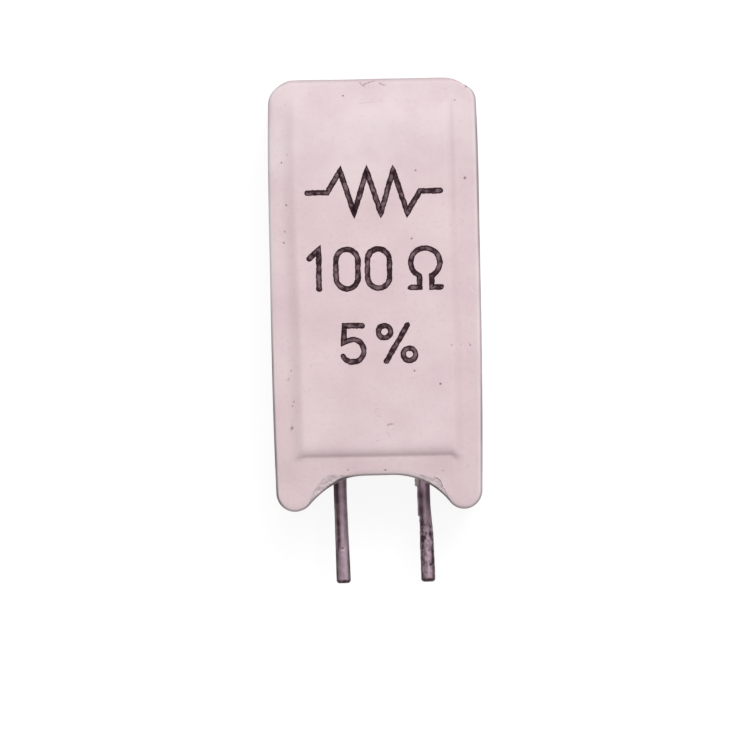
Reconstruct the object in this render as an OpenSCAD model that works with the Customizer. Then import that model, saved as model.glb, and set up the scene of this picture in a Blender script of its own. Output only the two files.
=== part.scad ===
// Cement power resistor: a wire-wound element potted in a pressed ceramic case.
// It lies on its open back with the raised panel upwards (+Z) and the leads towards -Y.
// The heights of the sections below are measured along Y from the tips of the feet.

/* [Ceramic case] */
// Width of the case
body_w = 12.4; // [11.4:0.1:14]
// Height of the case from its feet to its top edge
body_h = 25.4; // [22:0.1:32]
// Thickness from the back rim to the face of the panel
body_t = 8; // [7:0.1:10]
// Thickness of the side walls
side_wall = 1.3; // [1:0.05:1.6]
// Thickness of the top wall
top_wall = 1.3; // [1:0.05:1.8]
// Thickness of the bottom wall over the arch
bottom_wall = 1.15; // [0.9:0.05:1.6]
// Thickness of the front wall at the panel
front_wall = 1.7; // [1.2:0.05:2.2]
// Radius of the two top corners
corner_r = 1.4; // [0.8:0.1:2.5]
// Radius of the corners of the cavity
cavity_r = 0.8; // [0.4:0.1:1.5]
// Rounding of the front edge
edge_r = 0.35; // [0.1:0.05:0.6]
// Rounding of the back edge
back_edge_r = 0.2; // [0.1:0.05:0.5]

/* [Feet and arch] */
// Radius of each foot
foot_r = 1.1; // [0.8:0.05:1.3]
// Height of the arch over the tips of the feet
arch_h = 2.05; // [1.6:0.05:2.4]
// Radius of the two shoulders of the arch
arch_r = 4.4; // [3.8:0.1:5]

/* [Raised panel] */
// Height of the panel over the rim around it
panel_h = 0.35; // [0.15:0.05:0.6]
// Radius that rounds the edge of the panel down to the rim
panel_edge_r = 1.2; // [0.8:0.1:2]
// Corner radius of the flat face of the panel
panel_face_r = 0.1; // [0.05:0.05:1]
// Width of the rim beside the panel
panel_side = 1.2; // [0.8:0.05:2]
// Width of the rim over the panel
panel_top = 1.1; // [0.8:0.05:2]
// Width of the rim between the panel and the arch
panel_bottom = 1.15; // [0.8:0.05:2]

/* [Leads] */
// Distance between the two leads
lead_pitch = 5; // [4.2:0.1:5.8]
// Offset of the pair of leads to the right of the case's middle
lead_shift = 0.19; // [-0.4:0.01:0.4]
// Diameter of the lead wire
lead_d = 0.8; // [0.6:0.05:0.9]
// Length of the leads below the feet
lead_drop = 4.3; // [3:0.1:30]
// Angle at which the leads lean to the right below their bend
lead_lean = 1.2; // [0.8:0.1:3]
// Height of the bend over the feet
lead_bend_h = 0.9; // [0.6:0.05:1.1]
// Chamfer of the cut ends
lead_chamfer = 0.1; // [0.05:0.01:0.2]
// Room beside a lead in its slot through the bottom wall
slot_room = 0.15; // [0.05:0.05:0.3]

/* [Resistance element] */
// Diameter of the ceramic core
rod_d = 2.8; // [2:0.1:3.4]
// Diameter of the resistance wire
wire_d = 0.3; // [0.2:0.05:0.4]
// Distance between the turns of the winding
turn_pitch = 1; // [0.8:0.1:2]
// Gap between the winding and the core or the caps
winding_gap = 0.02; // [0.01:0.01:0.05]
// Depth of the end caps
cap_depth = 2; // [1.5:0.1:3]
// Wall of the end caps
cap_wall = 0.25; // [0.15:0.05:0.3]
// Thickness of the closed end of a cap
cap_end = 0.4; // [0.3:0.05:0.6]
// Gap between a cap and the core
cap_fit = 0.02; // [0.01:0.01:0.05]

/* [Cement] */
// Depth of the cement below the back rim
cement_sink = 0.25; // [0.1:0.05:0.6]
// Cement between the bottom wall and the lower cap
lower_cover = 1.4; // [0.8:0.1:3]
// Cement between the top wall and the bow of the return lead
upper_cover = 1; // [0.5:0.1:2]
// Length of the return lead between the upper cap and its bow
bow_stub = 0.6; // [0.2:0.1:2]
// Gap that the cement leaves around the element and the leads as it cures
cure_gap = 0.02; // [0.01:0.01:0.05]

/* [Hidden] */
$fn = 48;
// Length by which a cut reaches past the face that it opens
over = 1;
// Angle by which the cut of a shoulder of the arch reaches past its two ends
arch_over = 5;

CERAMIC = [0.88, 0.80, 0.82];
CEMENT = [0.80, 0.78, 0.75];
CORE = [0.93, 0.92, 0.88];
WIRE = [0.62, 0.52, 0.42];
CAP = [0.66, 0.66, 0.68];
LEAD = [0.52, 0.46, 0.49];

// The frame's origin lies under the middle of the whole part
mid_y = (body_h - lead_drop) / 2;

// Case
rim_z = body_t - panel_h;
cavity_w = body_w - 2 * side_wall;
cavity_y = arch_h + bottom_wall;
cavity_h = body_h - top_wall - cavity_y;
cavity_z = body_t - front_wall;
foot_x = body_w / 2 - foot_r;
arch_y = arch_h - arch_r;
arch_x = foot_x - sqrt(pow(arch_r + foot_r, 2) - pow(foot_r - arch_y, 2));
arch_from = atan2(foot_r - arch_y, foot_x - arch_x);
web_x = foot_x - foot_r / tan(arch_from);

// Panel: its edge is an arc that runs out on the rim
panel_edge_w = sqrt(2 * panel_edge_r * panel_h - pow(panel_h, 2));
panel_corner_r = panel_face_r + panel_edge_w;
panel_w = body_w - 2 * panel_side;
panel_y = arch_h + panel_bottom;
panel_tall = body_h - panel_top - panel_y;
panel_root = (front_wall - panel_h) / 2;

// Leads and element, on one plane halfway through the cement
lead_r = lead_d / 2;
bow_r = lead_pitch / 2;
left_x = lead_shift - bow_r;
right_x = lead_shift + bow_r;
lead_z = (cement_sink + cavity_z) / 2;
slot_w = lead_d + 2 * slot_room;
bow_y = cavity_y + cavity_h - upper_cover - lead_r - bow_r;
element_y = cavity_y + lower_cover;
element_l = bow_y - bow_stub - element_y;
tail_l = (lead_bend_h + lead_drop) / cos(lead_lean);

// Winding: its chords stay clear of the core
rod_r = rod_d / 2;
wire_sides = 6;
turn_steps = 20;
cap_r = rod_r + cap_fit + cap_wall;
winding_r = (rod_r + winding_gap) / cos(180 / turn_steps) + wire_d / 2;
element_r = max(cap_r, winding_r + wire_d / 2);
winding_y = element_y + cap_depth + winding_gap + wire_d / 2;
winding_l = element_l - 2 * (cap_depth + winding_gap) - wire_d;
turns = floor(winding_l / turn_pitch);
winding_steps = turns * turn_steps;

// A cylinder that runs up from a height at one of the lead's places
module upright(x, y, r, l)
    translate([x, y, lead_z])
        rotate([-90, 0, 0])
            cylinder(h = l, r = r);

module rounded_rectangle(w, h, r) {
    translate([r, 0])
        square([w - 2 * r, h]);
    translate([0, r])
        square([w, h - 2 * r]);
    for (x = [r, w - r], y = [r, h - r])
        translate([x, y])
            circle(r);
}

// Half section of the case's wall: flat to the axis, rounded where its outer side meets front and back
module wall_section(reach) {
    translate([0, back_edge_r])
        square([reach, rim_z - edge_r - back_edge_r]);
    square([reach - back_edge_r, rim_z - edge_r]);
    translate([0, back_edge_r])
        square([reach - edge_r, rim_z - back_edge_r]);
    translate([reach - edge_r, rim_z - edge_r])
        circle(edge_r);
    translate([reach - back_edge_r, back_edge_r])
        circle(back_edge_r);
}

// The air beside such a wall, for cuts whose edges are rounded the same way
module air_section(reach)
    difference() {
        translate([0, -over])
            square([reach + over, rim_z + 2 * over]);
        translate([reach + 2 * over, 0])
            mirror([1, 0])
                wall_section(2 * over);
    }

// Runs a section along X, with its reach towards +Y
module along_x(x, y, l)
    translate([x, y, 0])
        rotate([90, 0, 90])
            linear_extrude(l)
                children();

// Runs a section along Y, with its reach towards +X
module along_y(y, l)
    translate([0, y + l, 0])
        rotate([90, 0, 0])
            linear_extrude(l)
                children();

module both_sides() {
    children();
    mirror([1, 0, 0])
        children();
}

// The block of the case: straight walls cut by the arch, turned feet and top corners, and the top bar
module case_block() {
    difference() {
        union() {
            both_sides()
                along_y(foot_r, body_h - corner_r - foot_r)
                    wall_section(body_w / 2);
            linear_extrude(rim_z)
                polygon([[-foot_x, foot_r], [-web_x, 0], [web_x, 0], [foot_x, foot_r]]);
        }
        arch_cut();
    }
    both_sides() {
        translate([foot_x, foot_r, 0])
            rotate([0, 0, 180 + arch_from])
                rotate_extrude(angle = 180 - arch_from)
                    wall_section(foot_r);
        translate([body_w / 2 - corner_r, body_h - corner_r, 0])
            rotate_extrude(angle = 90)
                wall_section(corner_r);
        along_x(0, body_h - corner_r, body_w / 2 - corner_r)
            wall_section(corner_r);
    }
}

// The air under the arch: a flat top and two shoulders that run out on the feet
module arch_cut() {
    along_x(-arch_x, arch_y, 2 * arch_x)
        air_section(arch_r);
    both_sides()
        translate([arch_x, arch_y, 0])
            rotate_extrude(angle = 90 - arch_from + 2 * arch_over, start = arch_from - arch_over)
                air_section(arch_r);
}

module cavity(z, h)
    translate([-cavity_w / 2, cavity_y, z])
        linear_extrude(h)
            rounded_rectangle(cavity_w, cavity_h, cavity_r);

// The two slots that let the leads through the bottom wall, open to the back
module exit_slots(z)
    for (x = [left_x, right_x]) {
        translate([x - slot_w / 2, 0, z])
            cube([slot_w, cavity_y + cavity_r, lead_z - z]);
        upright(x, 0, slot_w / 2, cavity_y + cavity_r);
    }

// Half section of the panel: flat, then an arc that dips through the rim and ends inside the front wall
module panel_section(reach) {
    flat = reach - panel_edge_w;
    translate([0, -panel_root])
        square([flat, panel_root + panel_h]);
    intersection() {
        translate([flat, panel_h - panel_edge_r])
            circle(panel_edge_r);
        translate([0, -panel_root])
            square([flat + panel_edge_r, panel_root + panel_h]);
    }
}

// One quarter of the panel, turned at its corner, and its three mirror images
module panel() {
    corner_x = panel_w / 2 - panel_corner_r;
    corner_y = panel_tall / 2 - panel_corner_r;
    translate([0, panel_y + panel_tall / 2, rim_z])
        for (flip = [0, 1])
            mirror([0, flip, 0])
                both_sides() {
                    along_y(0, corner_y)
                        panel_section(panel_w / 2);
                    along_x(0, corner_y, corner_x)
                        panel_section(panel_corner_r);
                    translate([corner_x, corner_y, 0])
                        rotate_extrude(angle = 90)
                            panel_section(panel_corner_r);
                }
}

// A wire that runs up from the bend of its lead, with a little to spare below it
module wire_up(l, r)
    translate([0, -over, 0])
        rotate([-90, 0, 0])
            cylinder(h = over + l, r = r);

// The same wire with a chamfered end
module tail_up(r) {
    wire_up(tail_l - lead_chamfer, r);
    translate([0, tail_l - lead_chamfer, 0])
        rotate([-90, 0, 0])
            cylinder(h = lead_chamfer, r1 = r, r2 = r - lead_chamfer);
}

// Cuts what runs up from the bend at the plane that halves the bend's angle
module half_bend()
    difference() {
        rotate([0, 0, -lead_lean / 2])
            children();
        translate([-over, -2 * over, -over])
            cube(2 * over);
    }

// A lead that is bent below its slot: the children over the bend, and the tail as a mirror image under it
module bent_lead(x, r)
    translate([x, lead_bend_h, lead_z])
        rotate([0, 0, lead_lean / 2]) {
            half_bend()
                children();
            mirror([0, 1, 0])
                half_bend()
                    tail_up(r);
        }

module straight_run(r)
    bent_lead(left_x, r)
        wire_up(element_y - lead_bend_h, r);

// The return lead comes down from the bow that starts on the upper cap
module return_run(r)
    bent_lead(right_x, r) {
        wire_up(bow_y - lead_bend_h, r);
        translate([-bow_r, bow_y - lead_bend_h, 0]) {
            rotate_extrude(angle = 180)
                translate([bow_r, 0])
                    circle(r);
            translate([-bow_r, -bow_stub, 0])
                rotate([-90, 0, 0])
                    cylinder(h = bow_stub, r = r);
        }
    }

module place()
    translate([0, -mid_y, 0])
        children();

module ceramic_case()
    color(CERAMIC)
        place()
            difference() {
                union() {
                    case_block();
                    panel();
                }
                cavity(-over, cavity_z + over);
                exit_slots(-over);
            }

module cement_fill()
    color(CEMENT)
        place()
            difference() {
                union() {
                    cavity(cement_sink, cavity_z - cement_sink);
                    exit_slots(cement_sink);
                }
                arch_cut();
                upright(left_x, element_y - cure_gap, element_r + cure_gap, element_l + 2 * cure_gap);
                straight_run(lead_r + cure_gap);
                return_run(lead_r + cure_gap);
            }

module core_rod()
    color(CORE)
        place()
            upright(left_x, element_y + cap_end, rod_r, element_l - 2 * cap_end);

// Place of one point of the wire's section, a number of steps along the helix
function wire_point(step, corner) =
    let (
        turn = 360 * step / turn_steps,
        around = 360 * corner / wire_sides,
        reach = winding_r + wire_d / 2 * cos(around)
    )
    [
        left_x + reach * cos(turn),
        winding_y + winding_l * step / winding_steps + wire_d / 2 * sin(around),
        lead_z + reach * sin(turn),
    ];

module resistance_winding() {
    points = [
        for (step = [0 : winding_steps], corner = [0 : wire_sides - 1])
            wire_point(step, corner)
    ];
    skin = [
        for (step = [0 : winding_steps - 1], corner = [0 : wire_sides - 1])
            let (
                next = (corner + 1) % wire_sides,
                here = step * wire_sides,
                there = here + wire_sides
            )
            each [
                [here + corner, here + next, there + corner],
                [here + next, there + next, there + corner],
            ]
    ];
    first_end = [for (corner = [wire_sides - 1 : -1 : 0]) corner];
    last_end = [for (corner = [0 : wire_sides - 1]) winding_steps * wire_sides + corner];
    color(WIRE)
        place()
            polyhedron(points, concat(skin, [first_end, last_end]));
}

// A pressed cup that is open towards the middle of the core
module end_cap(y, open_y)
    difference() {
        upright(left_x, y, cap_r, cap_depth);
        upright(left_x, open_y, rod_r + cap_fit, cap_depth);
    }

module upper_cap()
    color(CAP)
        place()
            end_cap(element_y + element_l - cap_depth, element_y + element_l - cap_depth - cap_end);

module lower_cap()
    color(CAP)
        place()
            end_cap(element_y, element_y + cap_end);

module straight_lead()
    color(LEAD)
        place()
            straight_run(lead_r);

module return_lead()
    color(LEAD)
        place()
            return_run(lead_r);

ceramic_case();
cement_fill();
core_rod();
resistance_winding();
upper_cap();
lower_cap();
straight_lead();
return_lead();
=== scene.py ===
"""Dresses the solids of a cement power resistor: a ceramic case, potted with cement, on wire leads."""

import math

import bmesh
import bpy
from bl_math import lerp
from bpy.props import FloatProperty, FloatVectorProperty, PointerProperty
from mathutils import Matrix, Vector, noise
from mathutils.geometry import intersect_point_line


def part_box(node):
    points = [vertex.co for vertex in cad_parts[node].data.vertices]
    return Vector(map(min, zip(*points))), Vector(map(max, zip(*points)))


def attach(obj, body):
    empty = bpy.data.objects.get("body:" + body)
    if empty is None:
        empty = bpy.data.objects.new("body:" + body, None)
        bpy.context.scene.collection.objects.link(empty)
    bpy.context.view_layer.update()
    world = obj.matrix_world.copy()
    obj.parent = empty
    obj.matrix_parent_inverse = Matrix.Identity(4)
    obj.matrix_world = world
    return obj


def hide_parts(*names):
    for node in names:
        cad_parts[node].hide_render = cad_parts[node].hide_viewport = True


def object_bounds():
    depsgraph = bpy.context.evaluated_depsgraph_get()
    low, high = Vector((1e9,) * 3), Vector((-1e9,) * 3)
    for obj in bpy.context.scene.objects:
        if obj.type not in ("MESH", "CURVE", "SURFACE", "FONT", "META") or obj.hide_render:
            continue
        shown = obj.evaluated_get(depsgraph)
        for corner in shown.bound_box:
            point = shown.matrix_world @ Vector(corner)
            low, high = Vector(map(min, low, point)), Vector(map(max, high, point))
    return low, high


bl_info = {
    "name": "Cement Power Resistor",
    "version": (1, 0, 0),
    "blender": (4, 5, 0),
    "location": "3D View > Sidebar > Resistor",
    "description": "Dresses the solids of a cement power resistor for a studio render",
    "category": "Add Mesh",
}

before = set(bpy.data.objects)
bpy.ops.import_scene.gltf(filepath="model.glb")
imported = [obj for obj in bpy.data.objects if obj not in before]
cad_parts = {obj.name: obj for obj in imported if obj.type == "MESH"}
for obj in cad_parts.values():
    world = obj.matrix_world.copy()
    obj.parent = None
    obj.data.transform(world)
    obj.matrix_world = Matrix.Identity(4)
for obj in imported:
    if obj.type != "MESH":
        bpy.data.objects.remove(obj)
cad_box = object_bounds()

# The pieces are drawn in millimetres, with Y measured from the tips of the feet
MM = 0.001
FEET_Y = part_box("ceramic_case")[0].y / MM


def length_property(name, description, millimetres):
    """A length that the panel shows with its unit."""
    return FloatProperty(
        name=name, description=description, default=millimetres * MM, unit="LENGTH", precision=5
    )


def angle_property(name, description, degrees):
    """An angle that the panel shows in degrees."""
    return FloatProperty(name=name, description=description, default=math.radians(degrees), subtype="ANGLE")


def share_property(name, description, share):
    """A share from 0 to 1."""
    return FloatProperty(name=name, description=description, default=share, subtype="FACTOR", min=0, max=1)


def colour_property(name, description, red, green, blue):
    """A linear colour that the panel shows as a swatch."""
    return FloatVectorProperty(
        name=name, description=description, default=(red, green, blue), subtype="COLOR", min=0, max=1
    )


class CaseSettings(bpy.types.PropertyGroup):
    """Sizes and colours of the ceramic case."""

    corner_radius: length_property("Corner radius", "Radius of the two top corners", 1.4)
    foot_radius: length_property("Foot radius", "Radius of the tip of each foot", 1.1)
    arch_height: length_property("Arch height", "Height of the arch over the tips of the feet", 2.05)
    shoulder_radius: length_property("Shoulder radius", "Radius of the arch beside the feet", 4.4)
    edge_rounding: length_property("Edge rounding", "Rounding of the edge around the face", 0.34)
    back_rounding: length_property("Back rounding", "Rounding of the edge around the back", 0.2)
    panel_height: length_property("Panel height", "Height of the raised panel over its rim", 0.35)
    panel_side: length_property("Side rim", "Width of the rim beside the panel", 1.2)
    panel_top: length_property("Top rim", "Width of the rim over the panel", 1.1)
    panel_bottom: length_property("Bottom rim", "Width of the rim between the panel and the arch", 1.15)
    bottom_slope: length_property("Bottom slope", "Width of the rounded lower edge of the panel", 1.15)
    droop: length_property("Droop", "Fall of the rim towards the arch and the feet", 0.1)
    side_wall: length_property("Side wall", "Thickness of the side walls and of the top wall", 1.3)
    bottom_wall: length_property("Bottom wall", "Thickness of the wall over the arch", 1.15)
    front_wall: length_property("Front wall", "Thickness of the wall behind the panel", 1.7)
    cavity_radius: length_property("Cavity radius", "Radius of the corners of the cavity", 0.8)
    ceramic: colour_property("Ceramic", "Colour of the fired ceramic", 0.74, 0.575, 0.605)
    cloud: colour_property("Cloud", "Colour of the paler clouds in the ceramic", 0.8, 0.637, 0.655)
    # Pale colour of worn edges, also used for painted light on the top of the case, on the panel and on the
    # edges
    worn_and_lit: colour_property("Worn edge", "Colour of the ceramic on its worn edges", 0.86, 0.76, 0.79)
    fracture: colour_property("Fracture", "Colour of the broken ceramic", 0.5, 0.43, 0.44)
    # Colour of dirt, also used for painted shade on the edges, along the panel and in the pits
    darkening: colour_property("Dirt", "Colour of the dirt on edges and in pits", 0.08, 0.048, 0.056)


class CementSettings(bpy.types.PropertyGroup):
    """Sizes and colours of the cement."""

    sink: length_property("Sink", "Depth of the cement below the back rim", 0.25)
    creep: length_property("Creep", "Height to which the cement creeps up the walls", 0.16)
    cement: colour_property("Cement", "Colour of the dry cement", 0.62, 0.565, 0.55)
    sand: colour_property("Sand", "Colour of the coarser grains", 0.42, 0.385, 0.375)


class LeadSettings(bpy.types.PropertyGroup):
    """Sizes and colours of the two leads."""

    pitch: length_property("Pitch", "Distance between the leads", 5.0)
    diameter: length_property("Diameter", "Diameter of the wire", 0.8)
    bend_height: length_property("Bend height", "Height of the bend over the feet", 0.9)
    lean: angle_property("Lean", "Angle of the tails to the case", 1.2)
    slot_room: length_property("Slot room", "Room beside a lead in its slot", 0.15)
    tin: colour_property("Tin", "Colour of the dull tin", 0.39, 0.29, 0.34)
    # Dark colour of the tin, also used for painted shade, reflection and sheen on the tails
    tarnish: colour_property("Tarnish", "Colour of the tarnished tin", 0.05, 0.027, 0.035)


class ElementSettings(bpy.types.PropertyGroup):
    """Colours of the core, its winding and its caps."""

    core: colour_property("Core", "Colour of the core's ceramic", 0.84, 0.83, 0.77)
    core_cloud: colour_property("Core cloud", "Colour of the darker clouds in the core", 0.76, 0.74, 0.68)
    cap: colour_property("Cap", "Colour of the pressed caps", 0.42, 0.42, 0.44)
    cap_tarnish: colour_property("Cap tarnish", "Colour of the tarnish on the caps", 0.26, 0.25, 0.26)
    winding: colour_property("Winding", "Colour of the resistance wire", 0.36, 0.24, 0.15)
    winding_tarnish: colour_property("Winding tarnish", "Colour of the tarnish on it", 0.2, 0.12, 0.08)


class MarkingSettings(bpy.types.PropertyGroup):
    """Sizes and colours of the printed marking."""

    stroke: length_property("Stroke", "Width of a printed stroke", 0.33)
    glyph_height: length_property("Sign height", "Height of the printed signs", 2.3)
    ink_film: length_property("Ink film", "Thickness of the ink", 0.008)
    ink: colour_property("Ink", "Colour of the ink", 0.026, 0.009, 0.013)
    worn_ink: colour_property("Worn ink", "Colour of the ink where it is thin", 0.21, 0.135, 0.155)


class StageSettings(bpy.types.PropertyGroup):
    """Camera, light and floor."""

    view_width: length_property("View width", "Width of the picture at the face of the case", 43.95)
    view_x: length_property("View X", "Middle of the picture across the case", -0.126)
    view_y: length_property("View Y", "Middle of the picture over the feet", 7.96)
    camera_distance: length_property("Camera distance", "Distance from the camera to the face", 600)
    roll: angle_property("Roll", "Turn of the camera about its axis", -1.1)
    key_distance: length_property("Key distance", "Distance from the key lamp to the case", 300)
    key_size: length_property("Key size", "Width of the key lamp", 180)
    key_height: angle_property("Key height", "Angle of the key lamp over the floor", 56)
    key_side: angle_property("Key side", "Turn of the key lamp from the top edge to the right", 20)
    key_share: share_property("Key share", "Share of the light from the key lamp", 0.5)
    sky_share: share_property("Sky share", "Share of the light from all round", 0.5)
    floor_size: length_property("Floor size", "Width of the floor", 1200)
    paper: share_property("Paper", "Share of the light that the floor gives back to the object", 0.23)
    paper_glow: share_property("Paper glow", "Light of the floor where it is seen directly", 0.86)


def clamp(value):
    """The value kept between 0 and 1."""
    return min(max(value, 0.0), 1.0)


def ramp(low, high, value):
    """A soft step from 0 at low to 1 at high."""
    share = clamp((value - low) / (high - low))
    return share * share * (3 - 2 * share)


def window(start, full, fading, end, value):
    """A soft step up from start to full, and down again from fading to end."""
    return ramp(start, full, value) * ramp(end, fading, value)


def bulge(value, centre, width):
    """A soft hump of height 1."""
    return math.exp(-(((value - centre) / width) ** 2))


def ripple(point, size, seed):
    """Smooth noise from -1 to 1 with waves of about the given size."""
    return noise.noise(point / size + Vector((seed, seed * 0.37, seed * 1.7)))


def ripples(point, waves):
    """A sum of ripples, each with its height, size and seed."""
    return sum(height * ripple(point, size, seed) for height, size, seed in waves)


# Pits of the face: place across and over the feet, and radius
PITS = (
    (-1.72, 24.4, 0.07),
    (-5.39, 20.5, 0.06),
    (4.92, 24.0, 0.05),
    (5.36, 19.4, 0.1),
    (2.48, 19.9, 0.06),
    (-5.14, 18.0, 0.07),
    (2.17, 15.9, 0.07),
    (-5.1, 4.94, 0.1),
    (3.71, 7.36, 0.09),
    (2.2, 8.15, 0.07),
    (0.38, 2.36, 0.08),
    (-1.85, 2.41, 0.055),
    (-5.2, 7.8, 0.06),
    (-5.05, 8.3, 0.05),
    (-4.95, 6.47, 0.05),
    (-5.03, 6.21, 0.05),
    (-5.27, 16.45, 0.05),
    (-5.33, 15.8, 0.06),
    (5.5, 9.6, 0.05),
    (5.67, 24.87, 0.1),
)
# Scratches of the face: both ends across and over the feet, and how dark they are, below 0 if pale
SCRATCHES = (
    (0.52, 4.97, 0.92, 5.07, 0.7),
    (0.53, 5.03, 0.8, 5.09, 0.6),
    (0.55, 4.57, 0.69, 4.35, 0.3),
    (-0.14, 4.09, 0.08, 4.09, 0.3),
    (-0.12, 5.95, 0.09, 5.96, 0.2),
    (-0.14, 5.88, -0.24, 5.7, 0.2),
    (-0.16, 5.57, 0.2, 5.51, 0.2),
    (-0.21, 5.29, -0.03, 5.23, 0.2),
    (-0.72, 25.19, -0.58, 25.02, 0.7),
    (-0.58, 25.02, -0.4, 24.93, 0.7),
    (-0.5, 25.04, -0.09, 25.19, 0.8),
    (-0.09, 25.19, 0.2, 25.27, 0.45),
    (0.45, 25.12, 0.72, 24.98, 0.8),
    (-0.81, 23.92, 0.68, 24.04, 0.2),
    (-0.7, 24.16, 0.65, 24.13, 0.08),
    (1.4, 24.06, 4.5, 23.97, 0.06),
    (5.58, 13.02, 5.86, 12.68, -0.8),
)
# Pits: how deep they are, how dark they are with painted shade and dirt in the hollow, the share of one
# that is flat, and its wobble
PIT_DEPTH = 0.06
PIT_SHADE_AND_DIRT = 0.68
PIT_FLOOR = 0.4
PIT_WOBBLE = 0.25
# Scratches: width, depth, dirt, the share of the width that is flat, and mean and spread of their strength
SCRATCH_WIDTH = 0.06
SCRATCH_DEPTH = 0.025
SCRATCH_DIRT = 0.75
SCRATCH_FLOOR = 0.2
SCRATCH_UNEVEN = (0.8, 0.5)
# Broken edges of the arch: how far a break reaches over the arch at places across it, and its slope
LEFT_BREAK = (
    (-4.4, 0),
    (-4.2, 0.4),
    (-3.8, 0.72),
    (-3.2, 0.75),
    (-2.5, 0.36),
    (-2, 0.25),
    (-1.5, 0),
)
RIGHT_BREAK = (
    (2.1, 0),
    (2.5, 0.33),
    (3.2, 0.5),
    (3.5, 0.78),
    (3.72, 0.75),
    (3.84, 0.45),
    (4.06, 0.25),
    (4.3, 0),
)
CHIPS = ((LEFT_BREAK, 0.17), (RIGHT_BREAK, 0.1))
# Outline of a break: how far it wanders sideways and up, the width of its step, and the step's depth
CHIP_WANDER = 0.06
CHIP_ROUGH = 0.08
CHIP_STEP_WIDTH = 0.06
CHIP_STEP = (0.02, 0.06)
# Waves of the broken face, and how far they change its depth
CRUMBLE_WAVES = ((1, 0.35, 10), (0.7, 0.14, 4))
CRUMBLE_SHARE = 0.9
# Where across the case a break gets a clear outline
OUTLINED_X = (3.2, 3.5)
# Blunt top corners: the direction that faces out and the distance along it that the case doesn't pass
BLUNT_CORNERS = (
    (Vector((0.49, 0.872, 0)), 24.42),
    (Vector((-0.6, 0.8, 0)), 23.38),
)
# Slopes of the panel: how far each reaches out of the panel's foot and into the panel
LEFT_SLOPE = (0.45, 0.65)
RIGHT_SLOPE = (0.18, 0.62)
TOP_SLOPE = (0.9, 1.7)
# How far the upper part of the panel sits to the left, and where over the feet that sets in
PANEL_LEAN = 0.2
LEAN_Y = (9, 19)
# Curves of the panel's left slope and of its lower edge
LEFT_CURVE = 1.4
BOTTOM_CURVE = 4
# Share of the panel's height that its top keeps, and where over the feet the panel gets thinner
TOP_SHARE = 0.78
WEDGE_Y = (24, 12)
# Flare of the panel's lower foot at its two ends, and where it sets in, from the panel's sides
LEFT_FLARE = 0.12
RIGHT_FLARE = 0.36
FLARE_REACH = (-0.8, 0.25)
# Where the lines along the panel's lower foot end, from the panel's sides
FOOT_LINE_END = (0.1, -0.3)
# Fall of the rim below the panel: where it sets in, and its slope towards the feet
SAG_REACH = (-0.3, 1.6)
FOOT_FALL = 0.03
# Unevenness of the pressed surface: waves, and how far it lies inside the true form
SWELL_WAVES = ((0.012, 2.6, 1), (0.004, 0.8, 2))
SWELL_DEPTH = 0.022
# Room around a pit, a scratch and a break in which the mesh is finer
PIT_ROOM = 0.2
SCRATCH_ROOM = (0.1, 0.2)
BREAK_ROOM = 0.15


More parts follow.
